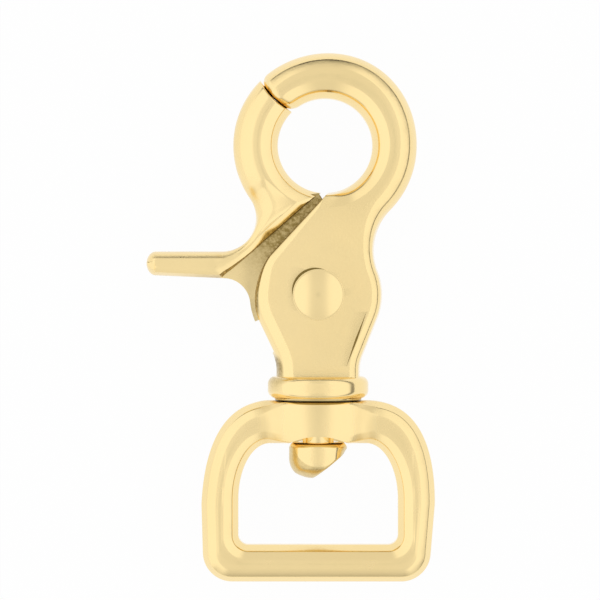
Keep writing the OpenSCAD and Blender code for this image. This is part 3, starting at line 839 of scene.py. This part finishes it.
# Where the trigger is matt, how much, and how level its flats are
jawFinish = {
    "tang": 0.5,
    "flat": 0.3,
    "level": (0.96, 0.03),
    "finger": 0.7,
    "fingerFrom": -12,
    "fingerOver": 2.5,
    "crook": 0.8,
    "crookAt": Vector((-11.6, -7.3)),
    "crookFull": 1.5,                    # over 1, so that the middle is matt in full
    "crookOver": 2.5,
}


def jawMatt(p, normal):
    fit = jawFinish
    onTang = abs(p.z) < jaw["tangT"] / 2 + 0.05 and abs(normal.z) > 0.9
    onFinger = ease((fit["fingerFrom"] - p.x) / fit["fingerOver"])
    inCrook = ease(fit["crookFull"] - (p.xy - fit["crookAt"]).length / fit["crookOver"])
    return max(
        fit["tang"] if onTang else 0,
        fit["flat"] * levelShare(normal, *fit["level"]),
        fit["finger"] * onFinger,
        fit["crook"] * inCrook,
    )


trigger = jawCasting()
tangHalf = jaw["tangT"] / 2
combine(trigger, prism("tang_plate", tangOutline(), -tangHalf, tangHalf), "UNION")
combine(trigger, prism("bore_cut", disc(rivetAt, jaw["boreR"]), -farCut, farCut), "DIFFERENCE")
finishMesh(trigger, creaseAngle, jawMatt)
print("trigger made:", len(trigger.data.polygons), "faces")


# Rivet: a shank with a low dome at each end
rivet = {"headR": 4.05, "headH": 0.9, "edge": 0.16, "rimH": 0.12, "rimIn": 0.05, "matt": 0.15}


def rivetSolid():
    r, h = rivet["headR"], rivet["headH"]
    domeR = (r * r + h * h) / (2 * h)
    seat = hookHalf(rivetAt.y)
    arcEnd = degrees(asin((r - rivet["edge"]) / domeR))
    turns = [radians(arcEnd * (i + 1) / 16) for i in range(16)]
    rim = [(domeR * sin(a), seat + h - domeR + domeR * cos(a)) for a in turns]
    rim += [(r, seat + rivet["rimH"]), (r - rivet["rimIn"], seat), (hook["rivetR"], seat)]
    path = rim + [(x, -z) for x, z in reversed(rim)]
    obj = lathe("rivet_head", path, 0)
    for v in obj.data.vertices:
        x, y, z = v.co
        v.co = (x + rivetAt.x * mm, z + rivetAt.y * mm, y)
    return obj


headRivet = finishMesh(rivetSolid(), 40, lambda p, normal: rivet["matt"])
print("rivet made")


# Spring: wire round the rivet, with a leg in the body and one in the tang
spring = {
    "wireR": 0.35,
    "coilR": 3.1,
    "turns": 2.25,
    "low": -1.88,
    "pitch": 0.78,
    "legReach": 8.65,
    "bendShare": 1.6,                    # the bend's radius, in radii of the wire
    "pinH": 1,
}


def springWire():
    turns, coilR = spring["turns"], spring["coilR"]
    points = [Vector((coilR, -spring["legReach"], spring["low"]))]
    coilSteps, bendSteps = 120, 6
    for i in range(coilSteps + 1):
        turn = turns * i / coilSteps
        height = spring["low"] + spring["pitch"] * turn
        points.append(polar(coilR, 360 * turn).to_3d() + Vector((0, 0, height)))
    end, way = points[-1], polar(1, 360 * turns + 90).to_3d()
    bend = spring["wireR"] * spring["bendShare"]
    for i in range(1, bendSteps + 1):
        t = pi / 2 * i / bendSteps
        points.append(end + way * bend * sin(t) + Vector((0, 0, bend * (1 - cos(t)))))
    points.append(points[-1] + Vector((0, 0, spring["pinH"])))
    curve = bpy.data.curves.new("spring_wire", "CURVE")
    curve.dimensions = "3D"
    curve.bevel_depth = spring["wireR"] * mm
    curve.bevel_resolution = 4
    curve.use_fill_caps = True
    strand = curve.splines.new("POLY")
    strand.points.add(len(points) - 1)
    for point, p in zip(strand.points, points):
        point.co = ((p.x + rivetAt.x) * mm, (p.y + rivetAt.y) * mm, p.z * mm, 1)
    obj = bpy.data.objects.new("spring_wire", curve)
    bpy.context.scene.collection.objects.link(obj)
    return obj


wire = springWire()
print("spring made")


# Loop: four bars in one casting with the boss that turns on the post
loop = {
    "strapW": 25.5,
    "strapRoom": 16.2,
    "barW": 5.9,
    "barT": 7,
    "bossW": 14.8,
    "bossT": 12.4,
    "bossBlend": 2.6,
    "bossSoft": 0.8,                     # how soft its front runs out into the arms
    "bossSide": 0.3,                     # how far the arms start outside it
    "innerTopH": 9,
    "innerEndR": 1.6,
    "outerEndR": 4.7,
    "lean": 0.7,
    "sideSkew": 0.35,
    "shoulderSkew": 0.5,
    "shoulderRun": 0.6,                  # the shoulder curve's start and its two pulls
    "shoulderIn": 3.5,
    "shoulderDrop": 0.6,
    "shoulderSide": 0.45,
    "bowPart": 0.6,                      # how far down the strap's room the arms are widest
    "bowSplit": 0.72,
    "archFoot": 3.2,
    "archR": 10,
    "archH": 1.6,
    "archBackR": 16,
    "archBackH": 0.8,
    "boreR": 2.58,
    "crown": 0.05,
}
roomTop = bossEnd + 0.3
roomEnd = roomTop - loop["strapRoom"]
loopEnd = roomEnd - loop["barW"]
innerW = loop["strapW"] / 2
outerW = innerW + loop["barW"]
bowY = roomTop - loop["strapRoom"] * loop["bowPart"]
bossHalfW, barHalf = loop["bossW"] / 2, loop["barT"] / 2
bossRun = bossHalfW + loop["bossSide"]
# Inside: top, shoulder, side, corner and end. Outside: top, shoulder, bow, side, corner
# and end.
roomSteps = stations(5, 8, 6, 6, 3)
rimSteps = stations(5, 8, 3, 3, 6, 3)


def bezier(p, q, r, s, t):
    return p * (1 - t) ** 3 + q * 3 * t * (1 - t) ** 2 + r * 3 * t * t * (1 - t) + s * t ** 3


def loopInner():
    topN, shoulderN, sideN, cornerN, endN = roomSteps
    endR, drop = loop["innerEndR"], loop["innerTopH"]
    turns = [radians(90 - 90 * i / shoulderN) for i in range(shoulderN + 1)]
    shoulder = [Vector((mix(bossRun, innerW, cos(a)), roomTop - drop * (1 - sin(a)))) for a in turns]
    return chain(
        line((0, roomTop), (bossRun, roomTop), topN),
        shoulder,
        line(shoulder[-1], (innerW, roomEnd + endR), sideN),
        arc((innerW - endR, roomEnd + endR), endR, 0, -90, cornerN),
        line((innerW - endR, roomEnd), (0, roomEnd), endN),
    )


# side is 1 on the right and -1 on the left, which leans in less
def shoulderCurve(t, side):
    out = loop["shoulderSkew"] * max(0, side)
    return bezier(
        Vector((bossRun + loop["shoulderRun"], bossTop)),
        Vector((outerW - loop["shoulderIn"] + out, bossTop - loop["shoulderDrop"] + out / 2)),
        Vector((outerW - loop["shoulderSide"] + out, bossEnd + out)),
        Vector((outerW, bowY)),
        t,
    )


def loopOuter(side):
    topN, shoulderN, bowN, sideN, cornerN, endN = rimSteps
    endR, split = loop["outerEndR"], loop["bowSplit"]
    inward = loop["lean"] + loop["sideSkew"] * side
    lean = atan2(inward, bowY - loopEnd)
    centre = Vector((outerW - inward - endR / cos(lean) + endR * tan(lean), loopEnd + endR))
    turn = -degrees(lean)
    return chain(
        line((0, bossTop), shoulderCurve(0, side), topN),
        [shoulderCurve(split * i / shoulderN, side) for i in range(shoulderN + 1)],
        [shoulderCurve(mix(split, 1, i / bowN), side) for i in range(bowN + 1)],
        line((outerW, bowY), centre + polar(endR, turn), sideN),
        arc(centre, endR, turn, -90, cornerN),
        line((centre.x, loopEnd), (0, loopEnd), endN),
    )


def whole(right, left):
    return right + [Vector((-p.x, p.y)) for p in reversed(left[1:-1])]


# The directions that point away from a closed path's inside, one for each point
def outwards(path):
    n, out = len(path), []
    for i in range(n):
        way = (path[(i + 1) % n] - path[i - 1]).normalized()
        out.append(Vector((-way.y, way.x)))
    return out


# The boss swells out of the loop's top like a lens
def bossHalf(x):
    rise = (loop["bossT"] - loop["barT"]) / 2
    r = (bossHalfW ** 2 + rise ** 2) / (2 * rise)
    lens = rise - r + sqrt(max(0, r * r - x * x))
    return barHalf + (lens + sqrt(lens * lens + loop["bossSoft"] ** 2)) / 2


def bossShare(p):
    blend = loop["bossBlend"]
    return 1 - ease((abs(p.x) - bossHalfW + blend) / (2 * blend)) if p.y > bossEnd else 0


def loopCasting():
    bar = castProfile((0.32, 2), (0.9, 0.95), (2.2, 0), (0.3, 0.6, 0.2, 0.25))
    bossIn = castProfile((0.1, 1.6), (0.3, 0.35), (1.5, 0), (0.3, 0.6, 0.2, 0.25))
    bossOut = castProfile((0.05, 1.4), (0.1, 0.3), (0.5, 0), (0.3, 0.3, 0.15, 0.15))
    inner = whole(loopInner(), loopInner())
    outer = whole(loopOuter(1), loopOuter(-1))
    innerOut, outerOut = outwards(inner), outwards(outer)
    rings = []
    for k in range(len(inner)):
        share = bossShare(outer[k])
        half = bossHalf(outer[k].x) if outer[k].y > bossEnd else barHalf
        into = [mix(p, q, share) for p, q in zip(bar, bossIn)]
        out = [mix(p, q, share) for p, q in zip(bar, bossOut)]
        rings.append(stationRing(
            [inner[k] + innerOut[k] * p.x for p in into],
            [outer[k] - outerOut[k] * p.x for p in out],
            heights(into, half), heights(out, half), loop["crown"],
        ))
    obj = skin("swivel_loop_cast", rings, closed=True)
    for v in obj.data.vertices:
        v.co.x += rivetAt.x * mm
    return obj


# The flats are half matt, and the roots of the arms beside the boss are matt in full
loopFinish = {"flat": 0.5, "level": (0.96, 0.03), "rootFull": 1.3, "rootOver": 2.6}


def loopMatt(p, normal):
    fit = loopFinish
    aside = abs(abs(p.x - rivetAt.x) - bossHalfW)
    root = ease(fit["rootFull"] - aside / fit["rootOver"]) if p.y > bossEnd - 1 else 0
    return max(fit["flat"] * levelShare(normal, *fit["level"]), root)


# The arch over the knob is higher at the front than at the back
def archOutline(r, h):
    around = disc((rivetAt.x, bossEnd + h - r), r, 200)
    return [p for p in around if p.y > bossEnd - loop["archFoot"]]


strapLoop = loopCasting()
backArch = archOutline(loop["archBackR"], loop["archBackH"])
frontArch = archOutline(loop["archR"], loop["archH"])
boreSide = [(loop["boreR"], bossTop + 3), (loop["boreR"], bossEnd - 3)]
for cutter in (
    prism("arch_back_cut", backArch, -farCut, farCut),
    prism("arch_cut", frontArch, -1, farCut),
    lathe("bore_cut", boreSide, rivetAt.x, 64),
):
    combine(strapLoop, cutter, "DIFFERENCE")
finishMesh(strapLoop, creaseAngle, loopMatt)
print("loop made:", len(strapLoop.data.polygons), "faces")


# Gives each socket its value: another node's socket, or a number, vector or colour
def feed(tree, sockets, values):
    for socket, value in zip(sockets, values):
        if hasattr(value, "links"):
            tree.links.new(value, socket)
        else:
            socket.default_value = value


# Shorthands that make nodes and give back the result
def maths(tree, kind, *values):
    node = tree.nodes.new("ShaderNodeMath")
    node.operation = kind
    feed(tree, node.inputs, values)
    return node.outputs[0]


def vectorMaths(tree, kind, a, b, result="Value"):
    node = tree.nodes.new("ShaderNodeVectorMath")
    node.operation = kind
    feed(tree, node.inputs, (a, b))
    return node.outputs[result]


def noise(tree, place, scale, detail, rough):
    node = tree.nodes.new("ShaderNodeTexNoise")
    sockets = [node.inputs[name] for name in ("Vector", "Scale", "Detail", "Roughness")]
    feed(tree, sockets, (place, scale, detail, rough))
    return node.outputs["Fac"]


# A soft step from 0 at one value to 1 at another
def fade(tree, value, low, high):
    node = tree.nodes.new("ShaderNodeMapRange")
    node.interpolation_type = "SMOOTHSTEP"
    feed(tree, node.inputs, (value, low, high))
    return node.outputs["Result"]


def times(tree, first, *others):
    for other in others:
        first = maths(tree, "MULTIPLY", first, other)
    return first


def most(tree, first, *others):
    for other in others:
        first = maths(tree, "MAXIMUM", first, other)
    return first


# How far a point or a normal reaches along a direction, and the same without its sign
def reachAlong(tree, value, way):
    return vectorMaths(tree, "DOT_PRODUCT", value, way)


def sizeAlong(tree, value, way):
    return maths(tree, "ABSOLUTE", reachAlong(tree, value, way))


# A node group with named inputs and outputs, and the sockets to build it between
def surfaceGroup(name, given, results):
    group = bpy.data.node_groups.new(name, "ShaderNodeTree")
    for socket, value in given.items():
        kind = "NodeSocketVector" if isinstance(value, tuple) else "NodeSocketFloat"
        made = group.interface.new_socket(socket, in_out="INPUT", socket_type=kind)
        made.default_value = value
    for socket in results:
        group.interface.new_socket(socket, in_out="OUTPUT", socket_type="NodeSocketFloat")
    place = group.nodes.new("ShaderNodeTexCoord").outputs
    taken = group.nodes.new("NodeGroupInput").outputs
    return group, place, taken, group.nodes.new("NodeGroupOutput").inputs


def addGroup(tree, group, values):
    node = tree.nodes.new("ShaderNodeGroup")
    node.node_tree = group
    for name, value in values.items():
        feed(tree, [node.inputs[name]], [value])
    return node.outputs


# Surfaces. Grain and tarnish are one group, with its own values in each metal: how
# matt a place is sets how rough and how grainy it is
cast = {
    "mottleScale": 260,
    "stainScale": 60,
    "stainFrom": 0.35,
    "polished": 0.13,
    "mattRough": 0.24,
    "mottleRough": 0.22,
    "mottleHeight": 0.5,
    "leastGrain": 0.1,
    "mattGrain": 0.9,
}


def castGroup():
    given = {"Matt": 0, "Grain": 2600, "Tarnish": 0.3}
    group, place, taken, out = surfaceGroup("castSurface", given, ("Stain", "Roughness", "Height"))
    point, matt = place["Object"], taken["Matt"]
    grain = noise(group, point, taken["Grain"], detail=3, rough=0.6)
    mottle = noise(group, point, cast["mottleScale"], detail=3, rough=0.55)
    wide = noise(group, point, cast["stainScale"], detail=2, rough=0.5)
    grain = maths(group, "SUBTRACT", grain, 0.5)
    mottle = maths(group, "SUBTRACT", mottle, 0.5)
    base = maths(group, "MULTIPLY_ADD", matt, cast["mattRough"], cast["polished"])
    rough = maths(group, "MULTIPLY_ADD", mottle, cast["mottleRough"], base)
    depth = maths(group, "MULTIPLY_ADD", matt, cast["mattGrain"], cast["leastGrain"])
    grainy = times(group, grain, depth)
    height = maths(group, "MULTIPLY_ADD", mottle, cast["mottleHeight"], grainy)
    stained = maths(group, "SUBTRACT", wide, cast["stainFrom"])
    stain = times(group, stained, taken["Tarnish"])
    feed(group, [out[name] for name in ("Stain", "Roughness", "Height")], (stain, rough, height))
    return group


castSurface = castGroup()


# Lays one colour over another where a mask says so
def overlay(tree, mask, under, over):
    node = tree.nodes.new("ShaderNodeMix")
    node.data_type = "RGBA"
    feed(tree, [node.inputs[i] for i in (0, 6, 7)], (mask, under, over))
    return node.outputs[2]


def metal(name):
    material = bpy.data.materials.new(name)
    material.use_nodes = True
    tree = material.node_tree
    shader = tree.nodes["Principled BSDF"]
    shader.inputs["Metallic"].default_value = 1
    return material, tree, shader.inputs


def brass(name, grain, tarnish, depth):
    material, tree, sockets = metal(name)
    matt = tree.nodes.new("ShaderNodeAttribute")
    matt.attribute_name = "matt"
    values = {"Matt": matt.outputs["Fac"], "Grain": grain, "Tarnish": tarnish}
    surface = addGroup(tree, castSurface, values)
    colour = overlay(tree, surface["Stain"], (*cleanBrass, 1), (*dullBrass, 1))
    relief = tree.nodes.new("ShaderNodeBump")
    relief.inputs["Strength"].default_value = 1
    relief.inputs["Distance"].default_value = depth
    tree.links.new(surface["Height"], relief.inputs["Height"])
    targets = [sockets[name] for name in ("Base Color", "Roughness", "Normal")]
    feed(tree, targets, (colour, surface["Roughness"], relief.outputs["Normal"]))
    return material


# Body and trigger are painted dark in the notch, partly for their dark cast skin and
# partly as painted shade where its walls close in: on flats no higher than Top, on the
# steep sides that face each other across it, and faintly on both noses. Each pair is
# where the dark fades out and where it is full, in metres or as a share of a normal.
notch = {
    "level": (0.85, 0.95),
    "facing": (0.62, 0.8),
    "across": (0.0005, -0.0008),
    "upward": (-0.0065, -0.008),
    "topSoft": 0.0002,
    "farther": 1.4,                      # how much farther the steep sides' skin and painted shade fade
    "speckScale": 2400,
    "speckShare": 1.4,
    "noseFacing": (0.4, 0.7),
    "noseNear": (0.0013, 0.0009),
    "noseOut": (0.0135, 0.012),
    "noseIn": (0.0, 0.004),
    "noseDark": 0.1,
    "rougher": 0.3,
}
upWay, acrossWay, alongWay = (0, 0, 1), (1, 0, 0), (0, 1, 0)


# Builds the notch's painted shade over its dark cast skin, and a speckle that breaks it up
def notchGroup():
    given = {
        "Top": 0.002,
        "Centre": (0, 0, 0),
        "Facing": (1, 0, 0),
        "Near Reach": 0.01,
        "Far Reach": 0.02,
        "Share": 0.2,
    }
    group, place, taken, out = surfaceGroup("notchSkinShade", given, ("Dark", "Speck"))
    point, normal = place["Object"], place["Normal"]
    top, far = taken["Top"], taken["Far Reach"]
    topEnd = maths(group, "ADD", top, notch["topSoft"])
    farEnd = times(group, far, notch["farther"])
    reach = vectorMaths(group, "DISTANCE", point, taken["Centre"])
    flat = times(
        group,
        fade(group, sizeAlong(group, point, upWay), topEnd, top),
        fade(group, sizeAlong(group, normal, upWay), *notch["level"]),
        fade(group, reach, far, taken["Near Reach"]),
    )
    steep = times(
        group,
        fade(group, reachAlong(group, normal, taken["Facing"]), *notch["facing"]),
        fade(group, reach, farEnd, far),
        fade(group, reachAlong(group, point, acrossWay), *notch["across"]),
        fade(group, reachAlong(group, point, alongWay), *notch["upward"]),
    )
    # Painted shade, faint, on both noses along the joint where they meet
    mouthWay, noseWay = polar(1, snap["mouth"]).to_3d(), polar(1, snap["mouth"] + 90).to_3d()
    noseRun = reachAlong(group, point, mouthWay)
    noseJointShade = times(
        group,
        fade(group, sizeAlong(group, normal, noseWay), *notch["noseFacing"]),
        fade(group, sizeAlong(group, point, noseWay), *notch["noseNear"]),
        fade(group, noseRun, *notch["noseOut"]),
        fade(group, noseRun, *notch["noseIn"]),
        notch["noseDark"],
    )
    speck = noise(group, point, notch["speckScale"], detail=4, rough=0.5)
    patches = maths(group, "MULTIPLY_ADD", speck, notch["speckShare"], taken["Share"])
    dark = most(group, times(group, most(group, flat, steep), patches), noseJointShade)
    feed(group, (out["Dark"], out["Speck"]), (dark, speck))
    return group


notchSkinShade = notchGroup()

# Painted shade that only the body has, in metres: in the rivet's recess, on the knob's top
# under the arch, on the file mark's floor and in the gap under the collar
bodyShadeMarks = {
    "recessAt": (recess["at"] * mm).to_3d(),
    "recessR": (recess["r"] + 0.02) * mm,
    "edge": 0.0001,                      # how softly the painted shade in the recess and under the collar ends
    "knobAt": (rivetAt.x * mm, (knobEnd + hook["knobR"] + 1.6) * mm, 0.004),
    "knobReach": (0.004, 0.00424),
    "knobBelow": (bossEnd * mm, bossEnd * mm - 0.0003),
    "knobSpeck": (0.5, 0.1),
    "markAt": (markMiddle * mm).to_3d() + Vector((0, 0, bodyTop * mm)),
    "markReach": (0.0053, 0.005),
    "markTop": (bodyTop - 0.1) * mm,
    "markSoft": 0.00004,
    "markFloor": (0.0005, 0.0003),       # how far below its top the mark's dark ends
    # The painted shade in the gap under the collar
    "underCollarAt": (0, (collarTop - hook["collarH"] - 0.27) * mm, 0),
    "underCollarHalf": 0.00012,
    "underCollarDark": 0.75,
}


# Masks of the body's own painted shade
def bodyShadeMasks(tree, speck):
    place = tree.nodes.new("ShaderNodeTexCoord").outputs
    point, marks = place["Object"], bodyShadeMarks
    height = sizeAlong(tree, point, upWay)

    def far(value, at):
        return vectorMaths(tree, "DISTANCE", value, at)

    def kept(*axes):
        return vectorMaths(tree, "MULTIPLY", point, axes, "Vector")

    recessR, underCollarHalf, top = marks["recessR"], marks["underCollarHalf"], marks["markTop"]
    # Painted shade in the recess beside the rivet's head
    recessShade = fade(tree, far(kept(1, 1, 0), marks["recessAt"]), recessR + marks["edge"], recessR)
    # Painted shade, speckled, on the knob's top where it sits under the arch
    underArchShade = times(
        tree,
        fade(tree, far(point, marks["knobAt"]), *marks["knobReach"]),
        fade(tree, reachAlong(tree, point, alongWay), *marks["knobBelow"]),
        maths(tree, "MULTIPLY_ADD", speck, *marks["knobSpeck"]),
    )
    # Painted shade on the floor of the file mark's groove
    grooveShade = times(
        tree,
        fade(tree, far(point, marks["markAt"]), *marks["markReach"]),
        fade(tree, height, top, top - marks["markSoft"]),
        fade(tree, sizeAlong(tree, place["Normal"], upWay), *notch["level"]),
        fade(tree, height, *[top - drop for drop in marks["markFloor"]]),
    )
    # Painted shade in the gap under the collar
    underCollarShade = times(
        tree,
        fade(tree, far(kept(0, 1, 0), marks["underCollarAt"]), underCollarHalf + marks["edge"], underCollarHalf),
        marks["underCollarDark"],
    )
    return [recessShade, underArchShade, grooveShade, underCollarShade]


# Lays the notch's dark cast skin and painted shade, and any painted shade of the piece's own, over
# its clean colour, and makes those places rougher
def paintSkinAndShade(material, values, colour, ownMasks=None):
    tree = material.node_tree
    sockets = tree.nodes["Principled BSDF"].inputs
    clean, rough = [sockets[name].links[0].from_socket for name in ("Base Color", "Roughness")]
    skinShadeOutputs = addGroup(tree, notchSkinShade, values)
    masks = ownMasks(tree, skinShadeOutputs["Speck"]) if ownMasks else []
    dark = maths(tree, "MINIMUM", most(tree, skinShadeOutputs["Dark"], *masks), 1)
    darkened = overlay(tree, dark, clean, (*colour, 1))
    roughened = maths(tree, "MULTIPLY_ADD", dark, notch["rougher"], rough)
    feed(tree, (sockets["Base Color"], sockets["Roughness"]), (darkened, roughened))


# The trigger's tang: dark cast skin and painted shade in the slot between the cheeks
tangSkinShade = {
    "Top": 0.00235,
    "Centre": (-0.0007, -0.0088, 0),
    "Facing": (0.66, -0.75, 0),
    "Near Reach": 0.009,
    "Far Reach": 0.019,
    "Share": 0.15,
}
# The body beside the trigger: dark cast skin and painted shade on its walls and low flats
bodySkinShade = {
    "Top": 0.001,
    "Centre": (-0.007, -0.0155, 0.004),
    "Facing": (-0.92, 0.38, 0),
    "Near Reach": 0.013,
    "Far Reach": 0.018,
    "Share": 0.2,
}

cleanBrass = (0.98, 0.775, 0.395)
dullBrass = (0.86, 0.64, 0.27)
bodyBrass = brass("bodyBrass", grain=2600, tarnish=0.5, depth=0.000045)
# The dark colours below are painted shade over dark cast skin
paintSkinAndShade(bodyBrass, bodySkinShade, (0.30, 0.21, 0.06), bodyShadeMasks)
triggerBrass = brass("triggerBrass", grain=2900, tarnish=0.45, depth=0.00002)
paintSkinAndShade(triggerBrass, tangSkinShade, (0.34, 0.24, 0.075))
loopBrass = brass("loopBrass", grain=2400, tarnish=0.45, depth=0.00002)
rivetBrass = brass("rivetBrass", grain=3200, tarnish=0.3, depth=0.00001)


def drawnWire():
    material, tree, sockets = metal("drawnWire")
    sockets["Base Color"].default_value = (0.62, 0.62, 0.6, 1)
    streak = tree.nodes.new("ShaderNodeTexNoise")
    streak.inputs["Scale"].default_value = 3000
    spread = tree.nodes.new("ShaderNodeMapRange")
    spread.inputs["To Min"].default_value = 0.2
    spread.inputs["To Max"].default_value = 0.38
    tree.links.new(streak.outputs["Fac"], spread.inputs["Value"])
    tree.links.new(spread.outputs["Result"], sockets["Roughness"])
    return material


def dress(obj, name, material, rideOn, node):
    obj.name = name
    obj.data.name = name
    obj.data.materials.clear()
    obj.data.materials.append(material)
    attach(obj, rideOn)
    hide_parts(node)


dress(body, "hook_casting", bodyBrass, "body", "hook_body")
dress(headRivet, "rivet_headed", rivetBrass, "body", "pivot_rivet")
dress(wire, "spring_coil", drawnWire(), "body", "torsion_spring")
dress(trigger, "trigger_casting", triggerBrass, "trigger", "trigger_jaw")
dress(strapLoop, "loop_casting", loopBrass, "loop", "swivel_loop")
print("pieces dressed")

# Studio: a pale floor, a soft tent of light and a long lens straight above
studio = {
    "centre": (-4.0, -24.64),            # the frame's centre, in mm
    "frameW": 96,
    "lens": 150,
    "sensor": 36,
    "floorSize": 3,
    "glow": 0.965,                       # how white the floor looks, from 0 to 1
    "tent": 0.84,
    "sides": 0.24,                       # what each part adds to the tent's light
    "sidesFade": (0.12, 0.45),
    "ends": -0.02,
    "endsFade": (0.35, 0.8),
    "horizon": -0.8,
    "horizonFade": (0.1, 0.27),
    "lensSpot": -0.3,
    "lensFade": (0.9985, 0.9995),
    "leftFade": (0.55, 0.85),            # the horizon is less dark to the left
    "lowerFade": (0.4, 0.9),             # and below
    "lowerPart": 0.6,
}


def addCamera():
    data = bpy.data.cameras.new("camera")
    data.lens, data.sensor_width = studio["lens"], studio["sensor"]
    data.clip_start, data.clip_end = 0.01, 20
    obj = bpy.data.objects.new("camera", data)
    height = studio["frameW"] * mm * studio["lens"] / studio["sensor"]
    x, y = studio["centre"]
    obj.location = (x * mm, y * mm, height)
    bpy.context.scene.collection.objects.link(obj)
    bpy.context.scene.camera = obj


def addFloor():
    half = studio["floorSize"] / 2
    z = cadBox[0][2] - 0.00001
    corners = [(-half, -half, z), (half, -half, z), (half, half, z), (-half, half, z)]
    mesh = bpy.data.meshes.new("floor")
    mesh.from_pydata(corners, [], [(0, 1, 2, 3)])
    floor = bpy.data.objects.new("floor", mesh)
    bpy.context.scene.collection.objects.link(floor)
    material = bpy.data.materials.new("floorPaper")
    material.use_nodes = True
    tree = material.node_tree
    nodes, links = tree.nodes, tree.links
    paper = nodes["Principled BSDF"]
    paper.inputs["Base Color"].default_value = (0.86, 0.86, 0.86, 1)
    paper.inputs["Roughness"].default_value = 0.9
    paper.inputs["Specular IOR Level"].default_value = 0.1
    glow = nodes.new("ShaderNodeEmission")
    path = nodes.new("ShaderNodeLightPath")
    rays = ("Is Camera Ray", "Is Glossy Ray", "Is Transmission Ray")
    seen = most(tree, *[path.outputs[ray] for ray in rays])
    blend = nodes.new("ShaderNodeMixShader")
    links.new(times(tree, seen, studio["glow"]), blend.inputs[0])
    links.new(paper.outputs[0], blend.inputs[1])
    links.new(glow.outputs[0], blend.inputs[2])
    links.new(blend.outputs[0], nodes["Material Output"].inputs["Surface"])
    mesh.materials.append(material)


def addWorld():
    world = bpy.data.worlds.new("tent")
    bpy.context.scene.world = world
    world.use_nodes = True
    tree = world.node_tree
    background = tree.nodes["Background"]
    way = tree.nodes.new("ShaderNodeTexCoord").outputs["Generated"]

    def part(value, name):
        return fade(tree, value, *studio[name + "Fade"])

    up = reachAlong(tree, way, upWay)
    horizon = maths(tree, "SUBTRACT", 1, part(sizeAlong(tree, way, upWay), "horizon"))
    left = part(reachAlong(tree, way, (-1, 0, 0)), "left")
    lower = times(tree, part(reachAlong(tree, way, (0, -1, 0)), "lower"), studio["lowerPart"])
    unlit = maths(tree, "SUBTRACT", 1, most(tree, left, lower))
    light = studio["tent"]
    for mask, name in (
        (part(sizeAlong(tree, way, acrossWay), "sides"), "sides"),
        (part(sizeAlong(tree, way, alongWay), "ends"), "ends"),
        (times(tree, horizon, unlit), "horizon"),
        (part(up, "lens"), "lensSpot"),
    ):
        light = maths(tree, "MULTIPLY_ADD", mask, studio[name], light)
    tree.links.new(light, background.inputs["Strength"])
    background.inputs["Color"].default_value = (1, 1, 1, 1)


addCamera()
addFloor()
addWorld()
bpy.context.scene.view_settings.view_transform = "Standard"
print("studio set")
